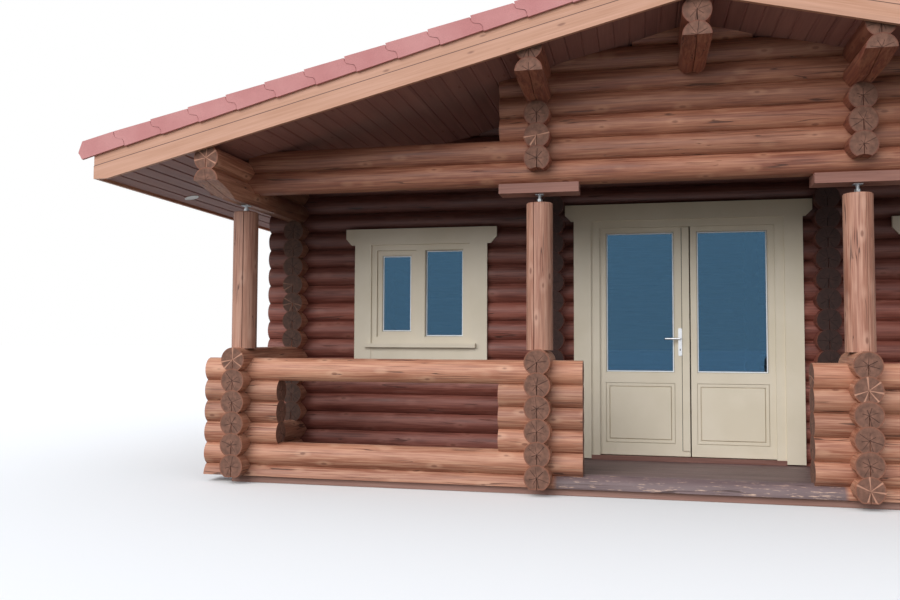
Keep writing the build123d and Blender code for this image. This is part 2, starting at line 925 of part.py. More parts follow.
def door_leaf(outer, meeting, stile_x):
    """A leaf between x = outer and x = meeting, with openings for its glass and its lower panel."""
    low = sill_z + leaf_gap
    high = base + door_top + leaf_lap
    x0, x1 = sorted((outer, meeting))
    g0, g1 = sorted(stile_x)
    with BuildPart() as leaf:
        with BuildSketch(Plane.XZ.offset(-leaf_back)):
            with Locations(((x0 + x1) / 2, (low + high) / 2)):
                Rectangle(x1 - x0, high - low)
            with Locations(((g0 + g1) / 2, (base + lock_rail_high + high - leaf_top_rail) / 2)):
                Rectangle(g1 - g0, high - leaf_top_rail - base - lock_rail_high, mode=Mode.SUBTRACT)
            with Locations(((g0 + g1) / 2, (low + leaf_bottom_rail + base + lock_rail_low) / 2)):
                Rectangle(g1 - g0, base + lock_rail_low - low - leaf_bottom_rail, mode=Mode.SUBTRACT)
        extrude(amount=leaf_t)
        panel_low = low + leaf_bottom_rail
        panel_high = base + lock_rail_low
        with BuildSketch(Plane.XZ.offset(-leaf_back + (leaf_t - panel_t) / 2)):
            with Locations(((g0 + g1) / 2, (panel_low + panel_high) / 2)):
                Rectangle(g1 - g0, panel_high - panel_low)
        extrude(amount=panel_t)
        with BuildSketch(Plane.XZ.offset(-leaf_front - (leaf_t - panel_t) / 2)):
            with Locations(((g0 + g1) / 2, (panel_low + panel_high) / 2)):
                Rectangle(g1 - g0 - 2 * panel_margin, panel_high - panel_low - 2 * panel_margin)
        extrude(amount=panel_field, taper=panel_slope)
    return leaf.part


def door_glass(stile_x):
    g0, g1 = sorted(stile_x)
    low = base + lock_rail_high
    high = base + door_top + leaf_lap - leaf_top_rail
    with BuildPart() as glass:
        with BuildSketch(Plane.XZ.offset(-leaf_back + (leaf_t - glass_t) / 2)):
            with Locations(((g0 + g1) / 2, (low + high) / 2)):
                Rectangle(g1 - g0 - 2 * fit, high - low - 2 * fit)
        extrude(amount=glass_t)
    return glass.part


leaf_outer = door_half + leaf_lap
left_lights = (-leaf_outer + leaf_outer_stile, -strip_w / 2 - leaf_meeting_stile)
right_lights = (leaf_outer - leaf_outer_stile, strip_w / 2 + leaf_meeting_stile)
with BuildPart() as left_leaf:
    add(door_leaf(-leaf_outer, meeting_x, left_lights))
    strip_z = (sill_z + strip_low, base + door_top - strip_high)
    with BuildSketch(Plane.XZ.offset(-leaf_front)):
        with Locations((meeting_x - strip_w / 2, (strip_z[0] + strip_z[1]) / 2)):
            Rectangle(strip_w, strip_z[1] - strip_z[0])
    extrude(amount=strip_t)
    chamfer(left_leaf.faces().sort_by(Axis.Y)[0].edges(), strip_chamfer)
    with Locations(Location((lever_x, leaf_front + leaf_t / 2, base + lever_z), (90, 0, 0))):
        Cylinder(spindle_dia / 2 + lever_play, 2 * leaf_t, mode=Mode.SUBTRACT)
keep("left_door_leaf", left_leaf.part)
keep("right_door_leaf", door_leaf(leaf_outer, meeting_x + meeting_gap, right_lights))
keep("left_door_glass", door_glass(left_lights))
keep("right_door_glass", door_glass(right_lights))

# Butt hinges behind the leaves. The frame holds the outer knuckles and the leaf the middle one
pin_x = door_half + leaf_lap + leaf_gap / 2
pin_y = leaf_back + hinge_back


def hinge_halves(side, plate_way, knuckle_z):
    """One half of each hinge of a door: a plate on its back face, joined to its own knuckles."""
    x = side * pin_x
    out = side * plate_way
    plate_y = leaf_back + fit + hinge_leaf_t / 2
    with BuildPart() as halves:
        for z in hinge_heights:
            for low, high in knuckle_z:
                with BuildSketch(Plane.XY.offset(base + z + low)):
                    with Locations((x, pin_y)):
                        Circle(hinge_dia / 2)
                    with Locations((x + out * hinge_leaf_w / 2, plate_y)):
                        Rectangle(hinge_leaf_w, hinge_leaf_t)
                extrude(amount=high - low)
            with BuildSketch(Plane.XY.offset(base + z - hinge_h / 2)):
                inner_edge = hinge_dia / 2 + hinge_knuckle_gap
                with Locations((x + out * (inner_edge + hinge_leaf_w) / 2, plate_y)):
                    Rectangle(hinge_leaf_w - inner_edge, hinge_leaf_t)
            extrude(amount=hinge_h)
    return halves.part


third = hinge_h / 6
outer_knuckles = ((-hinge_h / 2, -third - fit), (third + fit, hinge_h / 2))
middle_knuckle = ((-third, third),)
keep("door_hinges", joined([hinge_halves(side, 1, outer_knuckles) for side in (-1, 1)]))
keep("left_hinge_plates", hinge_halves(-1, -1, middle_knuckle))
keep("right_hinge_plates", hinge_halves(1, -1, middle_knuckle))

# Handle plates on both faces of the left leaf
with BuildPart() as plates:
    for y0, y1 in ((leaf_front - plate_t, leaf_front), (leaf_back, leaf_back + plate_t)):
        with BuildSketch(Plane.XZ.offset(-y1)):
            with Locations((lever_x, base + plate_low + plate_h / 2)):
                RectangleRounded(plate_w, plate_h, plate_r)
            with Locations((lever_x, base + lever_z)):
                Circle(lever_dia / 2 + lever_play, mode=Mode.SUBTRACT)
        extrude(amount=y1 - y0)
keep("handle_plates", plates.part)

# Lever handle: one piece, both levers on a spindle through the leaf
with BuildPart() as lever:
    with BuildSketch(Plane.XZ.offset(-leaf_back - spindle_past)):
        with Locations((lever_x, base + lever_z)):
            Circle(spindle_dia / 2)
    extrude(amount=leaf_t + 2 * spindle_past)
    front_neck = (leaf_front - lever_neck, leaf_front - lever_off)
    back_neck = (leaf_back + lever_off, leaf_back + lever_neck)
    for y0, y1 in (front_neck, back_neck):
        with BuildSketch(Plane.XZ.offset(-y1)):
            with Locations((lever_x, base + lever_z)):
                Circle(lever_dia / 2)
        extrude(amount=y1 - y0)
    for y in (leaf_front - lever_neck, leaf_back + lever_neck):
        with BuildSketch(Plane.YZ.offset(lever_x - lever_len)):
            with Locations((y, base + lever_z)):
                Circle(lever_dia / 2)
        extrude(amount=lever_len)
        with Locations((lever_x, y, base + lever_z)):
            Sphere(lever_dia / 2)
        with Locations((lever_x - lever_len, y, base + lever_z)):
            Sphere(lever_dia / 2)
keep("door_lever", lever.part)
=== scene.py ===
# %% [markdown]
# A log cabin, dressed for a render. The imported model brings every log, post, board and pane at its real
# size. This lesson gives each of them its finish, and models what is too fine for the construction model:
# the boards of the deck and the soffit, the roof tiles, the verge covers, the beads and seals of the glass.
# Everything is in metres, with the ground at Z = 0, the front towards -Y and the ridge over X = 0.

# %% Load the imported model
from functools import partial
from math import cos, pi, radians, sin, tan
from types import SimpleNamespace

import bpy
from mathutils import Matrix, Vector


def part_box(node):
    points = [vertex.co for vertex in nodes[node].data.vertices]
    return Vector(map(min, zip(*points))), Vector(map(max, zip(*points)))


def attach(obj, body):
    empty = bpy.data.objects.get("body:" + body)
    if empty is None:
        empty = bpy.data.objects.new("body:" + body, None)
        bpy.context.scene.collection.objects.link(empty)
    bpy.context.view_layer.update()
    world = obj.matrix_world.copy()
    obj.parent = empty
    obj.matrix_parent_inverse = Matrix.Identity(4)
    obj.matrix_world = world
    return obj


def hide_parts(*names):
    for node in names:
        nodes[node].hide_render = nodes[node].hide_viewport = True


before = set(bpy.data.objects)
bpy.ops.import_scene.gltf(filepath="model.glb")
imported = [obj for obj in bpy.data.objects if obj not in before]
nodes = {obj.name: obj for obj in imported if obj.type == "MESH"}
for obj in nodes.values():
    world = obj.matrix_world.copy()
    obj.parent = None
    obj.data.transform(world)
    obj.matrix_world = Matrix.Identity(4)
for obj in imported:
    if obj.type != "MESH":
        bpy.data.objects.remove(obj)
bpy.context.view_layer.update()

# %% [markdown]
# The building has a few sizes that everything follows: the thickness of a log, the height of a course, the
# lines on which the walls and posts stand, and the pitch of the roof. Where the box of a construction piece
# gives a place, it is read from there, so that a board or a pattern lies exactly on the piece it belongs to.
# FIT is the small gap that the model leaves between two pieces that lie against each other.

# %% Sizes of the building
LOG_R = 0.095
COURSE = 0.165
PITCH = radians(13.75)
SLOPE = tan(PITCH)
LEAN = cos(PITCH)
FIT = 0.0003
SIDES = ((-1, "left"), (1, "right"))


def middle_of(node, axis):
    """The middle of a construction piece's box along one axis."""
    low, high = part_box(node)
    return (low[axis] + high[axis]) / 2


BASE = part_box("skirting")[1].z
POST_Y = middle_of("left_mid_post", 1)
MID_X = -middle_of("left_mid_post", 0)
CORNER_X = -middle_of("left_corner_post", 0)
FRONT_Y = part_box("front_wall")[0].y + LOG_R
BACK_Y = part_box("back_wall")[0].y + LOG_R
X_LOG_Z = BASE
Y_LOG_Z = BASE + COURSE / 2
print("posts at y", round(POST_Y, 3), "and x", round(MID_X, 3), round(CORNER_X, 3))
print("walls at y", round(FRONT_Y, 3), "and", round(BACK_Y, 3))

# %% [markdown]
# The camera stands about nine metres from the middle of the building, at chest height, turned a little to
# the left and tipped up, with a fairly wide lens. The matrix is built by turning round Z, then round X, then
# round the camera's own axis for the slight tilt of the horizon.

# %% Camera
IMAGE_W = 900
FOCAL_PX = 852.5
SENSOR_MM = 36
EYE = Vector((-0.3815, -9.264, 1.111))
LOOK_LEFT = 0.2182
LOOK_UP = 0.0486
TILT = 0.0043
lens = bpy.data.cameras.new("camera")
lens.sensor_width = SENSOR_MM
lens.lens = FOCAL_PX / IMAGE_W * SENSOR_MM
camera = bpy.data.objects.new("camera", lens)
bpy.context.scene.collection.objects.link(camera)
aim = Matrix.Rotation(LOOK_LEFT, 4, "Z") @ Matrix.Rotation(pi / 2 + LOOK_UP, 4, "X")
camera.matrix_world = Matrix.Translation(EYE) @ aim @ Matrix.Rotation(TILT, 4, "Z")
bpy.context.scene.camera = camera
print("lens", round(lens.lens, 1), "mm")

# %% [markdown]
# A material is a small tree of nodes. One function adds a node, fills its inputs with numbers or with links
# from other nodes, and sets its options. A second one turns a colour as it is written on a screen into the
# linear light that a shader needs, a third starts a material, and a fourth puts it on construction pieces.

# %% Helpers for materials
def linear(hex_colour):
    """The linear colour of an sRGB hex value."""
    channels = [int(hex_colour[i:i + 2], 16) / 255 for i in (1, 3, 5)]
    return [c / 12.92 if c <= 0.04045 else ((c + 0.055) / 1.055) ** 2.4 for c in channels] + [1.0]


def add_node(tree, kind, inputs=(), **settings):
    """Adds a node. Its inputs, by place or by name, are numbers, colours, sockets or other nodes."""
    made = tree.nodes.new("ShaderNode" + kind)
    for key, value in settings.items():
        setattr(made, key, value)
    for key, value in inputs.items() if isinstance(inputs, dict) else enumerate(inputs):
        if isinstance(value, bpy.types.Node):
            value = value.outputs[0]
        if isinstance(value, bpy.types.NodeSocket):
            tree.links.new(value, made.inputs[key])
        else:
            made.inputs[key].default_value = value
    return made


def new_material(name):
    """A material with a Principled shader, its tree, and a function that adds nodes to it."""
    material = bpy.data.materials.new(name)
    material.use_nodes = True
    tree = material.node_tree
    shader = next(n for n in tree.nodes if n.type == "BSDF_PRINCIPLED")
    return material, tree, shader, partial(add_node, tree)


def dress(material, *names):
    """Gives construction pieces their finish."""
    for name in names:
        mesh = nodes[name].data
        mesh.materials.clear()
        mesh.materials.append(material)


print("white is", linear("#ffffff")[:3], "and mid grey is", round(linear("#808080")[0], 3))

# %% [markdown]
# The stage is a pale floor under a white sky. The floor shows pale to the camera and in the glass. It lights
# the building only as much as dull ground would, because a white floor would fill the shade under the roof.
# For the same reason the sky is dimmer near the horizon. The sun lamp is wide and soft, as on a hazy day.

# %% Floor, sky and light
FLOOR_SIZE = 240
FLOOR_SEEN = "#f3f2f0"
FLOOR_BOUNCE = "#6f6f67"
SKY_LIGHT = "#e9f0fb"
SKY_LOW = 0.60
SKY_HIGH = 1.10
SUN_STRENGTH = 2.35
SUN_SPREAD = 50
SUN_HEIGHT = 31
SUN_LEFT = 24


def seen_plainly(tree):
    """1 where the camera sees a surface, straight or in glass or metal, and 0 where it only gives light."""
    path = add_node(tree, "LightPath")
    seen = path.outputs["Is Camera Ray"]
    for ray in ("Is Glossy Ray", "Is Transmission Ray"):
        seen = add_node(tree, "Math", [seen, path.outputs[ray]], operation="MAXIMUM")
    return seen


bpy.ops.object.select_all(action="DESELECT")
bpy.ops.mesh.primitive_plane_add(size=FLOOR_SIZE, location=(0, 0, 0))
floor = bpy.context.object
floor.name = "floor"
floor_paint, tree, shader, node = new_material("pale_floor_paint")
tone = node("MixRGB", [seen_plainly(tree), linear(FLOOR_BOUNCE), linear(FLOOR_SEEN)])
tree.links.new(tone.outputs[0], shader.inputs["Base Color"])
shader.inputs["Roughness"].default_value = 1.0
shader.inputs["Specular IOR Level"].default_value = 0.0
floor.data.materials.append(floor_paint)

world = bpy.data.worlds.new("studio")
bpy.context.scene.world = world
world.use_nodes = True
tree = world.node_tree
tree.nodes.clear()
node = partial(add_node, tree)
height = node("SeparateXYZ", [node("TexCoord").outputs["Generated"]]).outputs[2]
glow = node("MapRange", {"Value": height, "To Min": SKY_LOW, "To Max": SKY_HIGH})
sky = node("Background", [linear(SKY_LIGHT), glow])
backdrop = node("Background", [linear("#ffffff"), 1.0])
both = node("MixShader", [seen_plainly(tree), sky, backdrop])
node("OutputWorld", [both])

sun_lamp = bpy.data.lights.new("sun", "SUN")
sun_lamp.energy = SUN_STRENGTH
sun_lamp.angle = radians(SUN_SPREAD)
sun = bpy.data.objects.new("sun", sun_lamp)
sun.rotation_euler = (radians(90 - SUN_HEIGHT), 0, radians(-SUN_LEFT))
bpy.context.scene.collection.objects.link(sun)
bpy.context.scene.view_settings.view_transform = "Standard"
print("sun", SUN_STRENGTH, "sky", SKY_LOW, "to", SKY_HIGH)

# %% [markdown]
# Round logs are turned from spruce, planed smooth and stained a transparent brown. Their pattern is worked
# out from the place on the log: the distance along it, and the angle and radius round its own axis. Courses
# repeat at a fixed height, so the height is folded to one course. Where the log below still reaches into
# that fold, it takes its own axis. A post stands upright, so nothing is folded there. White noise of the
# course, the side of the building and the line of the logs gives each log a few chances of its own.

# %% The place on a log
PATTERN_SHIFT = 40.0


def log_place(node, along, centre, first_axis):
    """Where a point lies on its own log, with that log's course, side, chances and shift of the pattern."""
    x, y, z = node("SeparateXYZ", [node("TexCoord").outputs["Object"]]).outputs[:3]
    if along == "X":
        length, height, hand = x, z, 0.0
        across = node("Math", [y, centre], operation="SUBTRACT")
    else:
        length, height = (y, z) if along == "Y" else (z, y)
        across = node("Math", [node("Math", [x], operation="ABSOLUTE"), centre], operation="SUBTRACT")
        hand = node("Math", [x], operation="SIGN")
    rise = node("Math", [height, first_axis], operation="SUBTRACT")
    course, up = 0.0, rise
    if along != "Z":
        course = node("Math", [node("Math", [rise, COURSE], operation="DIVIDE")], operation="ROUND")
        fold = node("Math", [course, -COURSE, rise], operation="MULTIPLY_ADD")
        above_lower = node("Math", [fold, COURSE], operation="ADD")
        reach = node("VectorMath", [node("CombineXYZ", [across, above_lower])], operation="LENGTH")
        in_lower = node("Math", [reach.outputs["Value"], LOG_R], operation="LESS_THAN")
        up = node("Math", [in_lower, COURSE, fold], operation="MULTIPLY_ADD")
        course = node("Math", [course, in_lower], operation="SUBTRACT")
    tag = node("CombineXYZ", [course, hand, centre])
    chance = node("TexWhiteNoise", {"Vector": tag}, noise_dimensions="3D").outputs["Color"]
    luck = node("SeparateXYZ", [chance]).outputs
    shift = node("VectorMath", {0: chance, "Scale": PATTERN_SHIFT}, operation="SCALE")
    spot = node("CombineXYZ", [length, across, up])
    return SimpleNamespace(x=x, y=y, z=z, across=across, up=up, spot=spot, course=course, hand=hand,
                           centre=centre, luck=luck, shift=shift)


print("courses", COURSE, "m high, of logs", 2 * LOG_R, "m thick")

# %% [markdown]
# The stain lets the grain show as long streaks. Knots stay darker, each in a paler eye where the grain bends
# round it, and drying opens fine checks all over and a few long cracks. Each pattern is a noise stretched
# along the log. Its scale is in cycles a metre, first along the log and then in the two directions across
# it, and comes from the real size of what it shows.

# %% The side of a log
GRAIN_SCALE = (2.4, 70.0, 70.0)
PATCH_SCALE = (1.6, 9.0, 9.0)
KNOT_SCALE = (4.2, 9.5, 9.5)
CHECK_SCALE = (1.6, 80.0, 80.0)
CRACK_SCALE = (0.8, 18.0, 18.0)
OPENING_SCALE = (2.6, 13.0, 13.0)


def side_pattern(node, log):
    """The grain, patches of tone, knots, the eyes round them and the cracks on the side of a log."""
    scales = (GRAIN_SCALE, PATCH_SCALE, KNOT_SCALE, CHECK_SCALE, CRACK_SCALE, OPENING_SCALE)
    places = [node("VectorMath", [log.spot, scale, log.shift], operation="MULTIPLY_ADD") for scale in scales]
    grain_at, patch_at, knot_at, check_at, crack_at, opening_at = places

    # Grain streaks about 7 mm wide and 0.2 m long, and patches of tone about 60 mm wide and 0.3 m long
    grain = node("TexNoise", {"Vector": grain_at, "Scale": 1.0, "Detail": 5.0, "Roughness": 0.62})
    patch = node("TexNoise", {"Vector": patch_at, "Scale": 1.0, "Detail": 3.0})

    # Knots some 25 mm across and 60 mm long, a few a metre
    knot_cell = node("TexVoronoi", {"Vector": knot_at, "Scale": 1.0, "Randomness": 1.0})
    knot_far = knot_cell.outputs["Distance"]
    knot = node("MapRange", {"Value": knot_far, "From Min": 0.13, "From Max": 0.06, "To Max": 0.65},
                interpolation_type="SMOOTHSTEP")
    eye = node("MapRange", {"Value": knot_far, "From Min": 0.36, "From Max": 0.16, "To Max": 0.45},
               interpolation_type="SMOOTHSTEP")

    # Fine checks 4 mm wide and up to 0.5 m long
    checks = node("TexNoise", {"Vector": check_at, "Scale": 1.0, "Detail": 1.0})
    check = node("MapRange", {"Value": checks, "From Min": 0.34, "From Max": 0.27, "To Max": 0.45})

    # Long cracks that wander, open and close. Each follows a contour of a stretched noise
    contour = node("TexNoise", {"Vector": crack_at, "Scale": 1.0, "Detail": 2.0})
    off_line = node("Math", [node("Math", [contour, 0.5], operation="SUBTRACT")], operation="ABSOLUTE")
    opening = node("TexNoise", {"Vector": opening_at, "Scale": 1.0, "Detail": 1.0})
    width = node("MapRange", {"Value": opening, "From Min": 0.52, "From Max": 0.70, "To Min": -0.004,
                              "To Max": 0.016})
    crack_edge = node("Math", [width, off_line], operation="SUBTRACT")
    crack = node("MapRange", {"Value": crack_edge, "From Min": -0.004, "From Max": 0.005},
                 interpolation_type="SMOOTHSTEP")
    crack = node("Math", [crack, check], operation="MAXIMUM")
    return grain, patch, knot, eye, crack


print("grain streaks", round(1000 / GRAIN_SCALE[1] / 2), "mm wide")

# %% [markdown]
# The sawn end of a log shows its year rings, weathered in blotches, and a star of drying cracks that run out
# from the heart. The turn round the heart is shared into seven parts. One crack stands in each, and white
# noise gives it an angle, a width and a length of its own. On one log in ten, and on the ends at the rail,
# the pale wood shows in the cracks, and there they widen outwards like a wedge.

# %% The end of a log
BLOTCH_SCALE = (30.0, 30.0, 30.0)
RING_STEP = 0.007
RING_BEND = 6.0
RAYS = 7
RAY_HALF = (0.0009, 0.0024)
RAY_WEDGE = 0.055
RAY_SOFT = 0.0008
RAY_REACH = (0.030, 0.094)
PALE_MORE_REACH = 0.025
PALE_FROM = 0.90


def end_pattern(node, log, rayed):
    """The radius, blotches, rings and cracks on the end of a log, and where those cracks are pale.

    rayed is the course of the logs whose cracks are all pale, or None.
    """
    radius = node("VectorMath", [node("CombineXYZ", [log.across, log.up])], operation="LENGTH")
    radius = radius.outputs["Value"]
    blotch_at = node("VectorMath", [log.spot, BLOTCH_SCALE, log.shift], operation="MULTIPLY_ADD")
    blotch = node("TexNoise", {"Vector": blotch_at, "Scale": 1.0, "Detail": 4.0, "Roughness": 0.6})

    # The rings are 7 mm apart, which is more than the real ones, so that they show
    bend = node("Math", [blotch, RING_BEND], operation="MULTIPLY")
    ring_phase = node("Math", [radius, 2 * pi / RING_STEP, bend], operation="MULTIPLY_ADD")
    ring = node("Math", [ring_phase], operation="SINE")

    # The part of the turn in which a point lies, and the chances of its crack
    turn = node("Math", [log.up, log.across], operation="ARCTAN2")
    turns = node("Math", [turn, RAYS / (2 * pi), log.luck[1]], operation="MULTIPLY_ADD")
    part = node("Math", [node("Math", [turns], operation="FLOOR"), float(RAYS)], operation="FLOORED_MODULO")
    within = node("Math", [turns], operation="FRACT")
    part_tag = node("Math", [part, 3.0, log.hand], operation="MULTIPLY_ADD")
    ray_tag = node("CombineXYZ", [log.course, part_tag, log.centre])
    ray_chance = node("TexWhiteNoise", {"Vector": ray_tag}, noise_dimensions="3D")
    ray_luck = node("SeparateXYZ", [ray_chance.outputs["Color"]]).outputs

    # How far the point lies from the middle of its crack, and the crack's half width there
    ray_at = node("MapRange", {"Value": ray_luck[0], "To Min": 0.25, "To Max": 0.75})
    ray_turn = node("Math", [node("Math", [within, ray_at], operation="SUBTRACT")], operation="ABSOLUTE")
    ray_off = node("Math", [node("Math", [ray_turn, 2 * pi / RAYS], operation="MULTIPLY"), radius],
                   operation="MULTIPLY")
    pale = node("Math", [log.luck[2], PALE_FROM], operation="GREATER_THAN")
    if rayed is not None:
        pale = node("Math", [pale, node("Math", [log.course, float(rayed), 0.1], operation="COMPARE")],
                    operation="MAXIMUM")
    half_dark = node("MapRange", {"Value": ray_luck[1], "To Min": RAY_HALF[0], "To Max": RAY_HALF[1]})
    half_pale = node("Math", [radius, RAY_WEDGE], operation="MULTIPLY")
    half = node("Math", [pale, half_pale, half_dark], operation="MULTIPLY_ADD")
    ray_edge = node("Math", [half, ray_off], operation="SUBTRACT")
    star = node("MapRange", {"Value": ray_edge, "From Min": -RAY_SOFT, "From Max": RAY_SOFT})

    # A crack ends at its own length, and some of the pale ones are closed
    reach = node("MapRange", {"Value": ray_luck[2], "To Min": RAY_REACH[0], "To Max": RAY_REACH[1]})
    reach = node("Math", [pale, PALE_MORE_REACH, reach], operation="MULTIPLY_ADD")
    star = node("Math", [star, node("Math", [radius, reach], operation="LESS_THAN")], operation="MULTIPLY")
    short = node("Math", [ray_luck[2], 0.45], operation="LESS_THAN")
    closed = node("Math", [pale, short], operation="MULTIPLY")
    star = node("Math", [star, closed], operation="SUBTRACT", use_clamp=True)
    return radius, blotch, ring, star, pale


print(RAYS, "cracks in each end,", RAY_HALF[0] * 2000, "to", RAY_HALF[1] * 2000, "mm wide")

# %% [markdown]
# Light and rain bleach a stain. Under the veranda roof the logs are darkened by painted shade, their ends
# most and their sides high up. At the doorstep, feet have worn the stain off between the two stacks and left
# a few pale scuffs.

# %% Painted roof shade and wear
# Painted shade under the veranda roof. It starts 0.1 m behind the posts and is full 0.4 m further in. It
# stops at the line of the house wall, grows with height on the sides, and is even on the ends.
PAINTED_SHADE_FROM = POST_Y + 0.10
PAINTED_SHADE_FULL = POST_Y + 0.50
ROOM_FROM = FRONT_Y + 0.02
PAINTED_SHADE_HIGH = (1.35, 2.20)
PAINTED_SHADE_DARK = 0.58
PAINTED_SHADE_END = 0.62
SCUFF_SCALE = (9.0, 90.0, 90.0)
SOIL_RANGE = 1.35
WEAR_EDGE = 0.03


def grey(level):
    """A colour with the same level in its three channels."""
    return level, level, level, 1.0


def painted_roof_shade(node, log, is_end):
    """The share of a log's colour that is left after the painted shade under the veranda roof."""
    deep = node("MapRange", {"Value": log.y, "From Min": PAINTED_SHADE_FROM, "From Max": PAINTED_SHADE_FULL})
    outside = node("Math", [log.y, ROOM_FROM], operation="LESS_THAN")
    inside = node("Math", [deep, outside], operation="MULTIPLY")
    high = node("MapRange", {"Value": log.z, "From Min": PAINTED_SHADE_HIGH[0], "From Max": PAINTED_SHADE_HIGH[1],
                             "To Max": PAINTED_SHADE_DARK})
    depth = node("MixRGB", [is_end, high, grey(PAINTED_SHADE_END)])
    darker = node("Math", [inside, depth], operation="MULTIPLY")
    return node("Math", [1.0, darker], operation="SUBTRACT")


def wear(node, log, tone, patch_fac, half_length, worn_tone, scuff_tone):
    """The tone of a log that is worn along its middle, up to half_length on each side of X = 0."""
    scuff_at = node("VectorMath", [log.spot, SCUFF_SCALE, log.shift], operation="MULTIPLY_ADD")
    scuffs = node("TexNoise", {"Vector": scuff_at, "Scale": 1.0, "Detail": 4.0, "Roughness": 0.7})
    scuff = node("MapRange", {"Value": scuffs, "From Min": 0.58, "From Max": 0.66})
    paler = node("VectorMath", {0: linear(worn_tone)[:3], "Scale": SOIL_RANGE}, operation="SCALE")
    soiled = node("MixRGB", [patch_fac, linear(worn_tone), paler])
    bare = node("MixRGB", [scuff, soiled, linear(scuff_tone)])
    far = node("Math", [log.x], operation="ABSOLUTE")
    between = node("MapRange", {"Value": far, "From Min": half_length, "From Max": half_length - WEAR_EDGE})
    return node("MixRGB", [between, tone, bare])


print("shelter from y", round(PAINTED_SHADE_FROM, 3), "to", round(FRONT_Y, 3))

# %% [markdown]
# One material is needed for each line of logs, since each has its own axis. The function mixes the tones of
# the side and of the end, takes the one or the other by the direction in which the surface faces, and lets
# the grain and the cracks set the roughness and the bumps too. FACING is how much of a face's normal has to
# lie along a line for the face to count as looking that way.

# %% Stained logs
FACING = 0.9
CRACK = "#33170f"
KNOT = "#6a3b29"
RAY_PALE = "#c8937a"
RIND = (0.084, 0.093)
PITH = (0.055, 0.010)


def side_colour(node, log, tones, pattern, worn):
    """The colour of the side of a log, from its tones and its side pattern."""
    side, shade, light = tones
    grain, patch, knot, eye, crack = pattern
    patch_fac = node("MapRange", {"Value": patch, "From Min": 0.36, "From Max": 0.64})
    tone = node("MixRGB", [patch_fac, shade, side])
    streak = node("MapRange", {"Value": grain, "From Min": 0.46, "From Max": 0.70, "To Max": 0.75})
    tone = node("MixRGB", [streak, tone, light])
    tone = node("MixRGB", [eye, tone, light])
    late = node("MapRange", {"Value": grain, "From Min": 0.30, "From Max": 0.48, "To Min": 0.72})
    own = node("MapRange", {"Value": log.luck[2], "To Min": 0.86, "To Max": 1.12})
    depth = node("Math", [own, late], operation="MULTIPLY")
    tone = node("VectorMath", {0: tone, "Scale": depth}, operation="SCALE")
    tone = node("MixRGB", [knot, tone, linear(KNOT)])
    if worn is not None:
        tone = wear(node, log, tone, patch_fac, *worn)
    return node("MixRGB", [node("Math", [crack, 0.75], operation="MULTIPLY"), tone, linear(CRACK)])


def end_colour(node, shade, tones, pattern):
    """The colour of the end of a log, from its tones and its end pattern, with shade for its rind."""
    end_tone, ring_tone = tones
    radius, blotch, ring, star, pale = pattern
    ring_fac = node("MapRange", {"Value": ring, "From Min": -1.0, "From Max": 1.0, "To Max": 0.4})
    end = node("MixRGB", [ring_fac, end_tone, ring_tone])
    weather = node("MapRange", {"Value": blotch, "From Min": 0.35, "From Max": 0.65, "To Min": 0.72,
                                "To Max": 1.25})
    pith = node("MapRange", {"Value": radius, "From Min": PITH[0], "From Max": PITH[1], "To Min": 1.0,
                             "To Max": 1.25})
    depth = node("Math", [weather, pith], operation="MULTIPLY")
    end = node("VectorMath", {0: end, "Scale": depth}, operation="SCALE")
    rind = node("MapRange", {"Value": radius, "From Min": RIND[0], "From Max": RIND[1], "To Max": 0.6})
    end = node("MixRGB", [rind, end, shade])
    ray_tone = node("MixRGB", [pale, linear(CRACK), linear(RAY_PALE)])
    return node("MixRGB", [node("Math", [star, 0.8], operation="MULTIPLY"), end, ray_tone])


def log_finish(name, along, centre, first_axis, tones, worn=None, rayed=None):
    """Stained log wood. centre is the line of the logs across their length, first_axis that of one axis.

    tones are the colours of the side, of its darker and lighter streaks, of the end and of its rings. worn
    is half the length of a worn stretch and its two tones, and rayed the course of the logs with pale cracks
    in their ends.
    """
    colours = [linear(tone) for tone in tones]
    material, tree, shader, node = new_material(name)
    log = log_place(node, along, centre, first_axis)
    on_side = side_pattern(node, log)
    on_end = end_pattern(node, log, rayed)
    facing = node("SeparateXYZ", [node("NewGeometry").outputs["Normal"]]).outputs["XYZ".index(along)]
    is_end = node("Math", [node("Math", [facing], operation="ABSOLUTE"), FACING], operation="GREATER_THAN")
    side = side_colour(node, log, colours[:3], on_side, worn)
    end = end_colour(node, colours[1], colours[3:], on_end)
    colour = node("MixRGB", [is_end, side, end])
    # Painted shade under the veranda roof darkens the colour here
    colour = node("VectorMath", {0: colour, "Scale": painted_roof_shade(node, log, is_end)}, operation="SCALE")
    tree.links.new(colour.outputs[0], shader.inputs["Base Color"])

    grain, crack, star = on_side[0], on_side[4], on_end[3]
    rough = node("MapRange", {"Value": grain, "From Min": 0.3, "From Max": 0.7, "To Min": 0.45,
                              "To Max": 0.65})
    rough = node("MixRGB", [is_end, rough, grey(0.85)])
    tree.links.new(rough.outputs[0], shader.inputs["Roughness"])
    cut = node("MixRGB", [is_end, crack, star])
    relief = node("Math", [cut, -3.0, grain], operation="MULTIPLY_ADD")
    bump = node("Bump", {"Height": relief, "Strength": 0.6, "Distance": 0.0020})
    tree.links.new(bump.outputs[0], shader.inputs["Normal"])
    return material
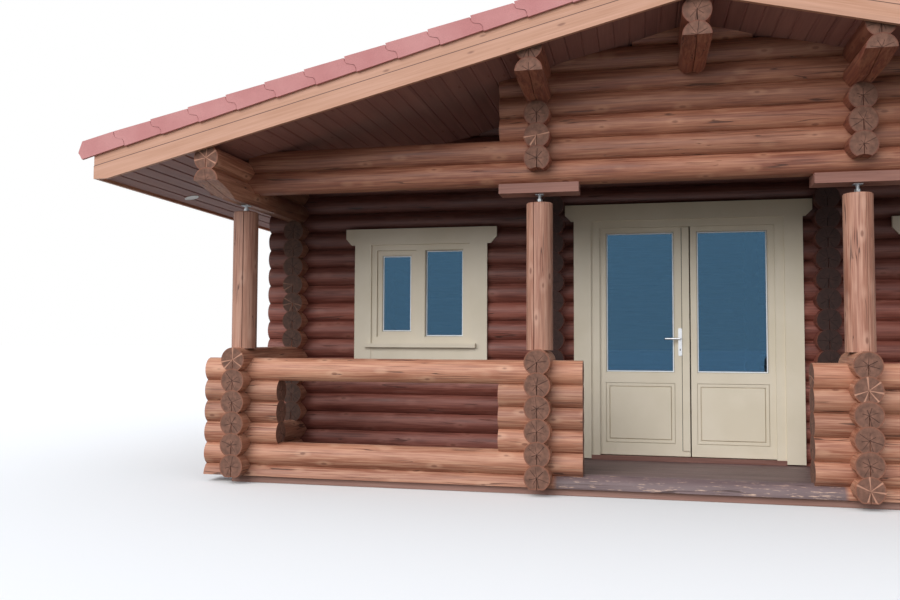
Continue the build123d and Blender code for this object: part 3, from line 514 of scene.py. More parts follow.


# %% [markdown]
# Sun and rain have made the open walls and rails the palest. The gable stands in the shade of the roof, and
# the house wall deep under it. Their tones, and those of the purlins and of the crossing logs of the house
# walls, are darker, partly as stain that has kept its colour and partly as painted shade. Each line of logs
# gets its place, its tones and the pieces that lie on it. The logs along Y stand half a course higher than
# those along X.

# %% The lines of logs
OUTER_LOG = ("#b97f63", "#9a6048", "#d4a487", "#7d5848", "#5c3d32")
# The gable, purlin, wall and jamb tones are darker, partly as painted shade under the roof
GABLE_LOG = ("#a0674e", "#824b37", "#bb8568", "#7d5848", "#5c3d32")
PURLIN_LOG = ("#94553f", "#784030", "#b57a5f", "#7d5848", "#5c3d32")
WALL_LOG = ("#8c4e40", "#70382d", "#a56a5b", "#6e473b", "#523329")
JAMB_LOG = ("#8a4e3e", "#6d392d", "#a56d5b", "#5a3a31", "#432a24")
POST_LOG = ("#b5836c", "#9d6853", "#cfa28c", "#7d5848", "#5c3d32")
RAIL_COURSE = 5
STACK_HALF = 0.105
ENTRANCE_HALF = MID_X - STACK_HALF
LOGS_ALONG_X = {
    "front_wall_log": (FRONT_Y, WALL_LOG, ["front_wall", "front_gable"]),
    "back_wall_log": (BACK_Y, OUTER_LOG, ["back_wall", "back_gable"]),
    "balustrade_log": (POST_Y, OUTER_LOG, ["left_balustrade", "right_balustrade"]),
    "porch_gable_log": (POST_Y, GABLE_LOG, ["porch_gable"]),
}
side_walls = ["left_wall", "right_wall", "left_plate", "right_plate", "corner_cross_logs"]
LOGS_ALONG_Y = {
    "side_wall_log": (CORNER_X, OUTER_LOG, RAIL_COURSE, side_walls),
    "veranda_crossing_log": (MID_X, OUTER_LOG, None, ["left_stack", "right_stack"]),
    "purlin_log": (MID_X, PURLIN_LOG, None, ["porch_gable_cross_logs", "left_purlin", "right_purlin"]),
    "wall_crossing_log": (MID_X, JAMB_LOG, None, ["front_cross_logs", "back_cross_logs"]),
    "ridge_log": (0.0, PURLIN_LOG, None, ["ridge_purlin"]),
}
for name, (centre, tones, members) in LOGS_ALONG_X.items():
    dress(log_finish(name, "X", centre, X_LOG_Z, tones), *members)
for name, (centre, tones, rayed, members) in LOGS_ALONG_Y.items():
    dress(log_finish(name, "Y", centre, Y_LOG_Z, tones, rayed=rayed), *members)
doorstep = (ENTRANCE_HALF, "#6a5757", "#c9a893")
dress(log_finish("deck_edge_log", "X", POST_Y, X_LOG_Z, OUTER_LOG, worn=doorstep), "deck_edge_log")
dress(log_finish("middle_post", "Z", MID_X, POST_Y, POST_LOG), "left_mid_post", "right_mid_post")
dress(log_finish("corner_post", "Z", CORNER_X, POST_Y, POST_LOG), "left_corner_post", "right_corner_post")
print(len(bpy.data.materials), "materials so far")

# %% [markdown]
# Planed boards have straighter grain than logs and take the same stain paler. The grain must follow each
# board: along the slope on a bargeboard, along Y under the roof. So the function is told the direction, and
# the place is turned into distances along and across the board. The tone changes once in about the width of
# a board. Where two boards lie one over the other, as on a bargeboard, a dark line is drawn at their joint.

# %% Planed boards
BOARD_GRAIN_SCALE = (2.0, 75.0, 75.0)
BOARD_PATCH_SCALE = (1.4, 9.0, 9.0)
BOARD_KNOT_SCALE = (3.0, 9.0, 9.0)
SEAM_HALF = 0.0028


def board_finish(name, direction, width, tones, rough=0.6, knots=0.6, seam=None):
    """Stained planed board. direction is X, Y or slope, and width the spacing of the tones across it.

    rough is the roughness, knots the strength of the knots, and seam the distance across of a dark joint.
    """
    side, shade, light = [linear(tone) for tone in tones]
    material, tree, shader, node = new_material(name)
    x, y, z = node("SeparateXYZ", [node("TexCoord").outputs["Object"]]).outputs[:3]
    out = node("Math", [x], operation="ABSOLUTE")
    down = node("Math", [z, -sin(PITCH)], operation="MULTIPLY")
    on_slope = node("Math", [out, LEAN, down], operation="MULTIPLY_ADD")
    level = node("Math", [z, LEAN], operation="MULTIPLY")
    off_slope = node("Math", [out, sin(PITCH), level], operation="MULTIPLY_ADD")
    places = {"X": (x, y, z), "Y": (y, on_slope, z), "slope": (on_slope, off_slope, y)}
    length, across, depth = places[direction]
    board = node("Math", [node("Math", [across, width], operation="DIVIDE")], operation="FLOOR")
    hand = 0.0 if direction == "X" else node("Math", [x], operation="SIGN")
    chance = node("TexWhiteNoise", {"Vector": node("CombineXYZ", [board, hand])}, noise_dimensions="3D")
    shift = node("VectorMath", {0: chance.outputs["Color"], "Scale": PATTERN_SHIFT}, operation="SCALE")
    spot = node("CombineXYZ", [length, across, depth])
    scales = (BOARD_GRAIN_SCALE, BOARD_PATCH_SCALE, BOARD_KNOT_SCALE)
    grain_at, patch_at, knot_at = [
        node("VectorMath", [spot, scale, shift], operation="MULTIPLY_ADD") for scale in scales
    ]

    # Grain streaks about 7 mm wide, patches of tone about 60 mm wide, and knots some 25 mm across
    grain = node("TexNoise", {"Vector": grain_at, "Scale": 1.0, "Detail": 5.0, "Roughness": 0.6})
    patch = node("TexNoise", {"Vector": patch_at, "Scale": 1.0, "Detail": 3.0})
    knot_cell = node("TexVoronoi", {"Vector": knot_at, "Scale": 1.0})
    knot = node("MapRange", {"Value": knot_cell.outputs["Distance"], "From Min": 0.12, "From Max": 0.05,
                             "To Max": knots}, interpolation_type="SMOOTHSTEP")
    patch_fac = node("MapRange", {"Value": patch, "From Min": 0.3, "From Max": 0.7})
    tone = node("MixRGB", [patch_fac, shade, side])
    streak = node("MapRange", {"Value": grain, "From Min": 0.42, "From Max": 0.72, "To Max": 0.6})
    tone = node("MixRGB", [streak, tone, light])
    own = node("MapRange", {"Value": chance.outputs["Value"], "To Min": 0.90, "To Max": 1.08})
    tone = node("VectorMath", {0: tone, "Scale": own}, operation="SCALE")
    tone = node("MixRGB", [knot, tone, linear(KNOT)])
    if seam is not None:
        off_seam = node("Math", [node("Math", [across, seam], operation="SUBTRACT")], operation="ABSOLUTE")
        joint = node("MapRange", {"Value": off_seam, "From Min": SEAM_HALF * 1.5, "From Max": SEAM_HALF,
                                  "To Max": 0.85})
        tone = node("MixRGB", [joint, tone, linear(CRACK)])
    tree.links.new(tone.outputs[0], shader.inputs["Base Color"])
    gloss = node("MapRange", {"Value": grain, "From Min": 0.3, "From Max": 0.7, "To Min": rough - 0.08,
                              "To Max": rough + 0.1})
    tree.links.new(gloss.outputs[0], shader.inputs["Roughness"])
    bump = node("Bump", {"Height": grain, "Strength": 0.4, "Distance": 0.0010})
    tree.links.new(bump.outputs[0], shader.inputs["Normal"])
    return material


# %% [markdown]
# The bargeboards are the palest, since they stand in the open. The soffit, the saddles and the sill are
# sheltered and darker, and the tones of the soffit and the sill are darkened partly as painted shade under
# the roof. The deck has gone grey brown, and the floor of the room is pale pine under a clear coat. The
# joint of the two bargeboards runs parallel to the roof, at a fixed distance below it.

# %% The boards of each part
ROOF_T = 0.228
BARGE_DROP = 0.038
BARGE_LOWER_H = 0.123
SOFFIT_BOARD = 0.1116
BARGE_TONE_W = 0.122
DECK_TONE_W = 0.126
FLOOR_TONE_W = 0.120
WIDE_BOARD = 0.200
roof_low, roof_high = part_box("right_roof_deck")
SOFFIT_Z = roof_high.z - ROOF_T / LEAN
BARGE_SEAM = SOFFIT_Z * LEAN + (BARGE_LOWER_H - BARGE_DROP) * LEAN
barge_tones = ("#cf9b80", "#bf8a6c", "#dfae97")
# The soffit tones are darkened partly as painted shade under the roof
soffit_tones = ("#97695f", "#825650", "#a67b70")
deck_tones = ("#725b59", "#5c4645", "#8b7471")
floor_tones = ("#d8b488", "#c69f70", "#e4c6a0")
rough_tones = ("#a97f72", "#8f675a", "#bd988a")
saddle_tones = ("#946557", "#7d5144", "#a9796a")
# The sill tones are darkened partly as painted shade at the foot of the door
sill_tones = ("#7a5146", "#664138", "#90685b")
barge_wood = board_finish("bargeboard_stain", "slope", BARGE_TONE_W, barge_tones, seam=BARGE_SEAM)
soffit_wood = board_finish("soffit_stain", "Y", SOFFIT_BOARD, soffit_tones)
deck_wood = board_finish("weathered_deck", "X", DECK_TONE_W, deck_tones, rough=0.55, knots=0.3)
floor_wood = board_finish("floor_pine", "X", FLOOR_TONE_W, floor_tones, rough=0.45)
rough_wood = board_finish("rough_sawn_stain", "X", WIDE_BOARD, rough_tones, rough=0.8)
saddle_wood = board_finish("saddle_stain", "X", WIDE_BOARD, saddle_tones)
sill_wood = board_finish("sill_stain", "X", WIDE_BOARD, sill_tones)
dress(barge_wood, "front_bargeboards", "back_bargeboards", "eave_fascias")
dress(soffit_wood, "left_roof_deck", "right_roof_deck")
dress(deck_wood, "deck_boards")
dress(floor_wood, "floor_boards")
dress(rough_wood, "skirting", "joists")
dress(saddle_wood, "beam_saddles")
dress(sill_wood, "door_sill")
print("boards done,", len(bpy.data.materials), "materials")

# %% [markdown]
# The windows and the doors are painted a sage beige, brushed in a satin paint. The eye sees an even colour
# with a soft sheen, a faint brushing along the length and a little dirt in patches.

# %% Satin paint
STROKE_SCALE = (90.0, 90.0, 6.0)
DIRT_SCALE = 2.5


def paint_finish(name, colour, dirty):
    """Satin paint with upright brush strokes about 6 mm wide and patches of dirt some 0.2 m across."""
    material, tree, shader, node = new_material(name)
    place = node("TexCoord").outputs["Object"]
    brushed = node("Mapping", {"Vector": place, "Scale": STROKE_SCALE})
    strokes = node("TexNoise", {"Vector": brushed, "Scale": 1.0, "Detail": 3.0})
    patches = node("TexNoise", {"Vector": place, "Scale": DIRT_SCALE, "Detail": 4.0})
    dirt = node("MapRange", {"Value": patches, "From Min": 0.62, "From Max": 0.38, "To Max": 0.35})
    tone = node("MixRGB", [dirt, linear(colour), linear(dirty)])
    tree.links.new(tone.outputs[0], shader.inputs["Base Color"])
    gloss = node("MapRange", {"Value": strokes, "From Min": 0.3, "From Max": 0.7, "To Min": 0.38,
                              "To Max": 0.5})
    tree.links.new(gloss.outputs[0], shader.inputs["Roughness"])
    bump = node("Bump", {"Height": strokes, "Strength": 0.25, "Distance": 0.0004})
    tree.links.new(bump.outputs[0], shader.inputs["Normal"])
    return material


paint = paint_finish("sage_beige_satin_paint", "#dfd3bd", "#cbbea3")
dress(paint, "front_window_trim", "front_window_frames", "other_window_trim", "other_window_frames",
      "door_frame", "door_trim", "left_door_leaf", "right_door_leaf")
print("paint", paint.name)

# %% [markdown]
# The panes are coated double glazing. From outside in daylight they act as dark mirrors over a dim, slightly
# blue view into the room. A pane is one block here, where the real one has four faces that reflect, so its
# IOR is well above the 1.5 of glass. That lets two faces give back as much light as four coated ones.

# %% Coated glass
GLASS_IOR = 2.5
glass, tree, shader, node = new_material("coated_double_glazing")
shader.inputs["Base Color"].default_value = linear("#6d8596")
shader.inputs["Roughness"].default_value = 0.01
shader.inputs["IOR"].default_value = GLASS_IOR
shader.inputs["Specular Tint"].default_value = linear("#7fb4dc")
shader.inputs["Transmission Weight"].default_value = 1.0
dress(glass, "front_window_glass", "other_window_glass", "left_door_glass", "right_door_glass")
print("glass", glass.name)

# %% [markdown]
# The screw jacks on the posts are hot-dip galvanised: a dull grey zinc with pale crystals some 10 mm
# across. The handle is satin steel, smoother and lighter. The rubber seals round the glass are black, and
# the spacer bar between the two panes shows as a pale line just inside them. The rims of the soffit lamps
# are white enamel with an even gloss.

# %% Steel, rubber, spacer bars and enamel
CRYSTAL_SCALE = 100.0
SATIN_SCALE = (80.0, 800.0, 2500.0)


def zinc_finish():
    """Hot-dip zinc, whose crystals each have their own grey and their own gloss."""
    material, tree, shader, node = new_material("galvanised_steel")
    place = node("TexCoord").outputs["Object"]
    crystals = node("TexVoronoi", {"Vector": place, "Scale": CRYSTAL_SCALE})
    tone = node("MixRGB", [crystals.outputs["Color"], linear("#9a9d9f"), linear("#c3c6c7")])
    tree.links.new(tone.outputs[0], shader.inputs["Base Color"])
    shader.inputs["Metallic"].default_value = 1.0
    gloss = node("MapRange", {"Value": crystals.outputs["Distance"], "To Min": 0.4, "To Max": 0.6})
    tree.links.new(gloss.outputs[0], shader.inputs["Roughness"])
    return material


def satin_finish():
    """Satin steel, brushed along its length in lines under a millimetre wide."""
    material, tree, shader, node = new_material("satin_steel")
    place = node("TexCoord").outputs["Object"]
    lines = node("Mapping", {"Vector": place, "Scale": SATIN_SCALE})
    brushed = node("TexNoise", {"Vector": lines, "Scale": 1.0, "Detail": 2.0})
    shader.inputs["Base Color"].default_value = linear("#d5d6d8")
    shader.inputs["Metallic"].default_value = 1.0
    gloss = node("MapRange", {"Value": brushed, "To Min": 0.2, "To Max": 0.4})
    tree.links.new(gloss.outputs[0], shader.inputs["Roughness"])
    return material


def plain_finish(name, dark, pale, grit, rough):
    """A moulded or extruded surface: two close tones in a fine grain of grit cycles a metre."""
    material, tree, shader, node = new_material(name)
    grain = node("TexNoise", {"Vector": node("TexCoord").outputs["Object"], "Scale": grit, "Detail": 2.0})
    tone = node("MixRGB", [grain, linear(dark), linear(pale)])
    tree.links.new(tone.outputs[0], shader.inputs["Base Color"])
    shader.inputs["Roughness"].default_value = rough
    bump = node("Bump", {"Height": grain, "Strength": 0.2, "Distance": 0.0003})
    tree.links.new(bump.outputs[0], shader.inputs["Normal"])
    return material


zinc = zinc_finish()
satin = satin_finish()
rubber = plain_finish("black_rubber_seal", "#17181a", "#26272a", 400.0, 0.6)
spacer = plain_finish("spacer_bar_aluminium", "#e6e9eb", "#f4f5f6", 300.0, 0.35)
lamp_white = plain_finish("white_enamel_lamp_rim", "#dcdcda", "#efefec", 300.0, 0.3)
dress(zinc, "post_jacks", "door_hinges", "left_hinge_plates", "right_hinge_plates")
dress(satin, "handle_plates", "door_lever")
print("steel and rubber done,", len(bpy.data.materials), "materials")

# %% [markdown]
# The roof is pressed steel with a coat of fine stone granules, brick red that the sun has turned pink. The
# granules are a millimetre or two, which gives a dry, dull surface with a fine speckle.

# %% Granulated steel
GRANULE_SCALE = 380.0
FADING_SCALE = 3.0


def granule_finish(name, main, pale):
    """Stone granules about 1.3 mm across, faded in patches some 0.2 m wide."""
    material, tree, shader, node = new_material(name)
    place = node("TexCoord").outputs["Object"]
    grit = node("TexNoise", {"Vector": place, "Scale": GRANULE_SCALE, "Detail": 2.0})
    patches = node("TexNoise", {"Vector": place, "Scale": FADING_SCALE, "Detail": 4.0})
    patch_fac = node("MapRange", {"Value": patches, "From Min": 0.35, "From Max": 0.65})
    tone = node("MixRGB", [patch_fac, linear(main), linear(pale)])
    speck = node("MapRange", {"Value": grit, "From Min": 0.3, "From Max": 0.7, "To Min": 0.84,
                              "To Max": 1.12})
    tone = node("VectorMath", {0: tone, "Scale": speck}, operation="SCALE")
    tree.links.new(tone.outputs[0], shader.inputs["Base Color"])
    shader.inputs["Roughness"].default_value = 0.85
    bump = node("Bump", {"Height": grit, "Strength": 0.6, "Distance": 0.0010})
    tree.links.new(bump.outputs[0], shader.inputs["Normal"])
    return material


tile_red = granule_finish("granulated_tile", "#b56a63", "#c27a73")
verge_red = granule_finish("granulated_verge", "#c58280", "#cf908d")
dress(tile_red, "left_roof_tiles", "right_roof_tiles")
dress(verge_red, "front_verge", "back_verge", "ridge_cap")
print("finishes done,", len(bpy.data.materials), "materials")

# %% [markdown]
# What the construction model leaves out is modelled here by hand, the way it would be done in the window: a
# cube or a plane at its size and place, shaped in edit mode, then repeated by a modifier or copied. A few
# helpers take up what comes back each time. The first ones open a piece for editing, pick its points by
# their place, and add a block. NEAR is how close a point has to be to a place to count as there.

# %% Helpers for shapes
NEAR = 0.001


def edit(piece, action="SELECT"):
    """Opens one piece for editing with everything or nothing selected."""
    bpy.ops.object.select_all(action="DESELECT")
    piece.select_set(True)
    bpy.context.view_layer.objects.active = piece
    bpy.ops.object.mode_set(mode="EDIT")
    bpy.ops.mesh.select_all(action=action)


def pick_points(piece, wanted):
    """In edit mode, selects only the points whose place passes a test."""
    bpy.ops.mesh.select_mode(type="VERT")
    bpy.ops.mesh.select_all(action="DESELECT")
    bpy.ops.object.mode_set(mode="OBJECT")
    for point in piece.data.vertices:
        point.select = wanted(point.co)
    bpy.ops.object.mode_set(mode="EDIT")


def add_block(name, low, high, edge=0.0):
    """A block between two corners, its edges broken by a small chamfer."""
    bpy.ops.object.select_all(action="DESELECT")
    middle = [(a + b) / 2 for a, b in zip(low, high)]
    size = [b - a for a, b in zip(low, high)]
    bpy.ops.mesh.primitive_cube_add(size=1, location=middle, scale=size)
    block = bpy.context.object
    block.name = name
    bpy.ops.object.transform_apply()
    if edge:
        edit(block)
        bpy.ops.mesh.bevel(offset=edge, segments=1, affect="EDGES")
        bpy.ops.object.mode_set(mode="OBJECT")
    return block


# %% [markdown]
# The other helpers work on whole pieces. An Array repeats one along a line, several can be joined to one, a
# copy has a mesh of its own, and the last helper says what a finished piece is. Every piece ends at the
# origin, with its place in its mesh.

# %% Helpers for whole pieces
def repeat(piece, count, step):
    """Repeats a piece along a line with an Array modifier."""
    rows = piece.modifiers.new("rows", "ARRAY")
    rows.count = count
    rows.use_relative_offset = False
    rows.use_constant_offset = True
    rows.constant_offset_displace = step
    bpy.context.view_layer.objects.active = piece
    bpy.ops.object.modifier_apply(modifier=rows.name)
    return piece


def join(name, pieces):
    """Makes one piece of several."""
    bpy.ops.object.select_all(action="DESELECT")
    for piece in pieces:
        piece.select_set(True)
    bpy.context.view_layer.objects.active = pieces[0]
    bpy.ops.object.join()
    pieces[0].name = name
    return pieces[0]


def copy_of(piece, name, move):
    """A copy with its own mesh, moved and turned by a matrix."""
    twin = piece.copy()
    twin.data = piece.data.copy()
    twin.name = name
    bpy.context.scene.collection.objects.link(twin)
    twin.data.transform(move)
    return twin


def put(piece, body, material, slot, *replaced):
    """Gives a finished piece its material and body, and hides the construction pieces it stands for. slot is
    not used.
    """
    piece.data.materials.clear()
    piece.data.materials.append(material)
    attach(piece, body)
    if replaced:
        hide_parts(*replaced)
    print(piece.name, len(piece.data.polygons), "faces")


# %% [markdown]
# Rough timbers lie under the first logs, below the veranda rails and the four walls of the house. They end
# at the corners, so that the crossing ends of the logs hang free beyond them.

# %% Skirting boards
SKIRT_HALF = 0.060
SKIRT_EDGE = 0.004
skirt_low, skirt_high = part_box("skirting")
outer_x = CORNER_X + SKIRT_HALF
skirts = []
for y in (POST_Y, FRONT_Y, BACK_Y):
    low_corner = (-outer_x, y - SKIRT_HALF, skirt_low.z)
    skirts.append(add_block("skirt", low_corner, (outer_x, y + SKIRT_HALF, skirt_high.z), SKIRT_EDGE))
for side in (-1, 1):
    for start, end in ((POST_Y, FRONT_Y), (FRONT_Y, BACK_Y)):
        low_corner = (side * CORNER_X - SKIRT_HALF, start + SKIRT_HALF, skirt_low.z)
        high_corner = (side * CORNER_X + SKIRT_HALF, end - SKIRT_HALF, skirt_high.z)
        skirts.append(add_block("skirt", low_corner, high_corner, SKIRT_EDGE))
put(join("skirting_boards", skirts), "cabin", rough_wood, "skirting", "skirting")

# %% [markdown]
# The deck has eight rows of boards, with gaps of 5 mm that let the rain through. At the front and at the
# house wall the ends of the crossing logs stand up through it, so those two rows are cut round them. A board
# is one cube with broken edges, and the six rows between, 121 mm apart, are an Array. The floor of the room
# is made by the same function, with no gap to speak of.

# %% Deck and floor boards
NOTCH_GAP = 0.002
NOTCH_HALF = LOG_R + NOTCH_GAP
STUB_BACK = 0.232
STUB_HOUSE = 0.202
DECK_ROWS = 6
DECK_GAP = 0.005
DECK_EDGE = 0.003
FLOOR_ROWS = 36
FLOOR_GAP = 0.001
FLOOR_EDGE = 0.0015


def lay_boards(name, node_name, first_end, last_start, rows, gap, edge):
    """Rows of boards along X over a construction piece's box, the first and last cut round the log ends."""
    low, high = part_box(node_name)
    cuts = [low.x, -MID_X - NOTCH_HALF, -MID_X + NOTCH_HALF, MID_X - NOTCH_HALF, MID_X + NOTCH_HALF, high.x]
    boards = []
    for y0, y1 in ((low.y, first_end), (last_start, high.y)):
        for x0, x1 in zip(cuts[::2], cuts[1::2]):
            boards.append(add_block(name, (x0, y0 + gap / 2, low.z), (x1, y1 - gap / 2, high.z), edge))
    pitch = (last_start - first_end) / rows
    row_low, row_high = first_end + gap / 2, first_end + pitch - gap / 2
    row = add_block(name, (low.x, row_low, low.z), (high.x, row_high, high.z), edge)
    boards.append(repeat(row, rows, (0, pitch, 0)))
    print(name, round(pitch * 1000), "mm apart")
    return join(name, boards)


deck_y = (POST_Y + STUB_BACK, FRONT_Y - STUB_HOUSE)
deck = lay_boards("deck_rows", "deck_boards", *deck_y, DECK_ROWS, DECK_GAP, DECK_EDGE)
put(deck, "cabin", deck_wood, "deck", "deck_boards")
room_y = (FRONT_Y + STUB_HOUSE, BACK_Y - STUB_HOUSE)
room_floor = lay_boards("floor_rows", "floor_boards", *room_y, FLOOR_ROWS, FLOOR_GAP, FLOOR_EDGE)
put(room_floor, "cabin", floor_wood, "floor", "floor_boards")

# %% [markdown]
# Under the roof run tongued boards with a V joint, parallel to the eave, from the ridge to the eave boards.
# Each slope is made lying flat, with its ridge end at X = 0 and its underside at Z = 0, because all its
# parts are square there. Then it is turned to the pitch, lifted to the ridge and trimmed upright with the
# bisect operator. The boards are 112 mm wide with chamfered edges, and a plain slab fills in over them.

# %% Soffit boards
SOFFIT_T = 0.018
V_JOINT = 0.008
SLAB_OVER = 0.080
EAVE_INNER = roof_high.x


def lay_on_slope(piece, side):
    """Turns a piece made flat on to one slope of the roof."""
    bpy.ops.object.select_all(action="DESELECT")
    piece.select_set(True)
    bpy.context.view_layer.objects.active = piece
    piece.rotation_euler = (0, side * PITCH, 0)
    piece.location = (0, 0, SOFFIT_Z)
    bpy.ops.object.transform_apply()


def trim_upright(piece, x, way):
    """Cuts a piece on an upright plane across X and drops what lies beyond it."""
    edit(piece)
    bpy.ops.mesh.bisect(plane_co=(x, 0, 0), plane_no=(way, 0, 0), use_fill=True, clear_outer=True)
    bpy.ops.object.mode_set(mode="OBJECT")


def flat_block(name, side, u, y, w, edge=0.0):
    """A block in the flat place of a slope: u from the ridge to the eave, w up from the underside."""
    x0, x1 = sorted((side * u[0], side * u[1]))
    return add_block(name, (x0, y[0], w[0]), (x1, y[1], w[1]), edge)


boards_across = int(EAVE_INNER / LEAN / SOFFIT_BOARD) + 1
for side, name in SIDES:
    ends = (roof_low.y, roof_high.y)
    board = flat_block(f"{name}_ceiling", side, (0, SOFFIT_BOARD), ends, (0, SOFFIT_T), V_JOINT)
    repeat(board, boards_across, (side * SOFFIT_BOARD, 0, 0))
    slab_w = (SOFFIT_T + FIT, ROOF_T)
    slab = flat_block("slab", side, (-SLAB_OVER, boards_across * SOFFIT_BOARD), ends, slab_w)
    for part in (board, slab):
        lay_on_slope(part, side)
        trim_upright(part, side * EAVE_INNER, side)
        trim_upright(part, side * FIT, -side)
    ceiling = join(f"{name}_ceiling", [board, slab])
    put(ceiling, "cabin", soffit_wood, "board", f"{name}_roof_deck")

# %% [markdown]
# Small lamps are let into the soffit at the corners of the veranda, each a white rim round a frosted glass.
# A rim is a disc whose middle is inset and pushed in, and it lies on the boards in the same flat place.

# %% Soffit lamps
LAMP_X = 4.212
LAMP_Y = POST_Y + 0.450
LAMP_R = 0.060
LAMP_RIM = 0.012
LAMP_T = 0.004
for side, name in SIDES:
    bpy.ops.object.select_all(action="DESELECT")
    lamp_place = (side * LAMP_X / LEAN, LAMP_Y, -LAMP_T / 2)
    bpy.ops.mesh.primitive_cylinder_add(vertices=32, radius=LAMP_R, depth=LAMP_T, location=lamp_place)
    lamp = bpy.context.object
    lamp.name = f"{name}_soffit_lamp"
    bpy.ops.object.transform_apply()
    edit(lamp, "DESELECT")
    bpy.ops.mesh.select_mode(type="FACE")
    bpy.ops.object.mode_set(mode="OBJECT")
    for face in lamp.data.polygons:
        face.select = face.normal.z < -FACING
    bpy.ops.object.mode_set(mode="EDIT")
    bpy.ops.mesh.inset(thickness=LAMP_RIM, depth=0)
    bpy.ops.mesh.inset(thickness=LAMP_RIM / 3, depth=-LAMP_T / 2)
    bpy.ops.object.mode_set(mode="OBJECT")
    lay_on_slope(lamp, side)
    put(lamp, "cabin", lamp_white, "painted")

# %% [markdown]
# The roofing is pressed steel in courses of 309 mm, each stepped over the one below and waved like tiles
# from side to side. One wave of one course is a grid whose middle is lifted with proportional editing, so
# that it rises in a smooth curve. Its lower edge is raised and folded down as the nose. Arrays repeat it
# along the eave and up the slope, points that meet are merged, and Solidify gives the sheet its thickness.

# %% Roof tiles
TILE_COURSE = 0.309
TILE_T = 0.046
TILE_STEP = 0.016
WAVE_H = 0.022
SHEET_T = 0.004
WAVE_ABOUT = 0.190
WAVE_PARTS = 8
WAVE_REACH = 0.49
MERGE = 0.0005
SMOOTH_BELOW = 35
tiles_low, tiles_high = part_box("right_roof_tiles")
TILE_EAVE_U = (tiles_high.x - (ROOF_T + TILE_T) * sin(PITCH)) / LEAN
waves = round((tiles_high.y - tiles_low.y) / WAVE_ABOUT)
wave = (tiles_high.y - tiles_low.y) / waves
courses = int(TILE_EAVE_U / TILE_COURSE) + 2


def tile_sheet(name, side):
    """All the roofing of one slope."""
    u_low = TILE_EAVE_U
    middle = (side * (u_low - TILE_COURSE / 2), tiles_low.y + wave / 2, ROOF_T + TILE_T - TILE_STEP - WAVE_H)
    bpy.ops.object.select_all(action="DESELECT")
    bpy.ops.mesh.primitive_grid_add(x_subdivisions=1, y_subdivisions=WAVE_PARTS, size=1, location=middle)
    tile = bpy.context.object
    tile.name = name
    tile.scale = (TILE_COURSE, wave, 1)
    bpy.ops.object.transform_apply()
    edit(tile)
    pick_points(tile, lambda co: abs(co.y - middle[1]) < wave / WAVE_PARTS / 2)
    bpy.ops.transform.translate(value=(0, 0, WAVE_H), use_proportional_edit=True,
                                proportional_edit_falloff="SMOOTH", proportional_size=wave * WAVE_REACH)
    pick_points(tile, lambda co: abs(abs(co.x) - u_low) < NEAR)
    bpy.ops.transform.translate(value=(0, 0, TILE_STEP))
    bpy.ops.mesh.select_mode(type="EDGE")
    bpy.ops.mesh.extrude_region_move(TRANSFORM_OT_translate={"value": (0, 0, -TILE_STEP)})
    bpy.ops.object.mode_set(mode="OBJECT")
    repeat(tile, waves, (0, wave, 0))
    repeat(tile, courses, (-side * TILE_COURSE, 0, 0))
    edit(tile)
    bpy.ops.mesh.remove_doubles(threshold=MERGE)
    bpy.ops.mesh.normals_make_consistent(inside=False)
    bpy.ops.object.mode_set(mode="OBJECT")
    if sum(face.normal.z for face in tile.data.polygons) < 0:
        edit(tile)
        bpy.ops.mesh.flip_normals()
        bpy.ops.object.mode_set(mode="OBJECT")
    sheet = tile.modifiers.new("sheet", "SOLIDIFY")
    sheet.thickness = SHEET_T
    sheet.offset = -1
    bpy.ops.object.modifier_apply(modifier=sheet.name)
    lay_on_slope(tile, side)
    trim_upright(tile, side * 2 * FIT, -side)
    bpy.ops.object.shade_smooth_by_angle(angle=radians(SMOOTH_BELOW))
    return tile


for side, name in SIDES:
    put(tile_sheet(f"{name}_tile_courses", side), "cabin", tile_red, "tile", f"{name}_roof_tiles")
print(courses, "courses of", waves, "waves,", round(wave * 1000), "mm wide")

# %% [markdown]
# Folded covers close the ends of the tiles down both gables, one to each course. Their ends are cut in an S,
# so that each hooks over the next one below with an open joint a few millimetres wide. They are made level,
# and then one matrix slants them to the pitch, which keeps their ends upright as on the real ones. The
# helpers here do that, move the points of an end to the S, and take the sharpness off the edges.

# %% Verge covers
VERGE_LOW = 0.166
VERGE_H = 0.128
VERGE_T = 0.022
VERGE_STEP = 0.008
VERGE_OUT = 0.004
VERGE_EDGE = 0.0015
VERGE_CAP = 0.030
# Share of the height, push down the slope, and width of the open joint
END_CURVE = ((0.0, -0.086, 0.004), (0.2, -0.080, 0.004), (0.38, -0.066, 0.003), (0.48, -0.036, 0.0015),
             (0.58, -0.010, 0.002), (0.72, 0.000, 0.004), (1.0, 0.006, 0.006))
CAP_POINT = (0.36, 0.42)
FLANGE_W = 0.130
FLANGE_T = 0.0135
FLANGE_TOP = 0.286 / LEAN
STRIP_BACK = 0.012
STRIP_SHORT = 0.020
STRIP_UP = 0.006
STRIP_UNDER = 0.014
SHARP_ANGLE = 40
verge_low, verge_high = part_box("front_verge")
VERGE_TIP = verge_high.x
UNIT_X = TILE_COURSE * LEAN
covers = int(VERGE_TIP / UNIT_X) + 1


def slant(piece, side):
    """Slants a piece, made level with Z = 0 for the underside of the roof, to the pitch of one slope."""
    rows = ((1, 0, 0, 0), (0, 1, 0, 0), (-side * SLOPE, 0, 1, SOFFIT_Z), (0, 0, 0, 1))
    piece.data.transform(Matrix(rows))


def shift_points(piece, wanted, move):
    """Moves the points of a piece whose place passes a test."""
    pick_points(piece, wanted)
    bpy.ops.transform.translate(value=move)


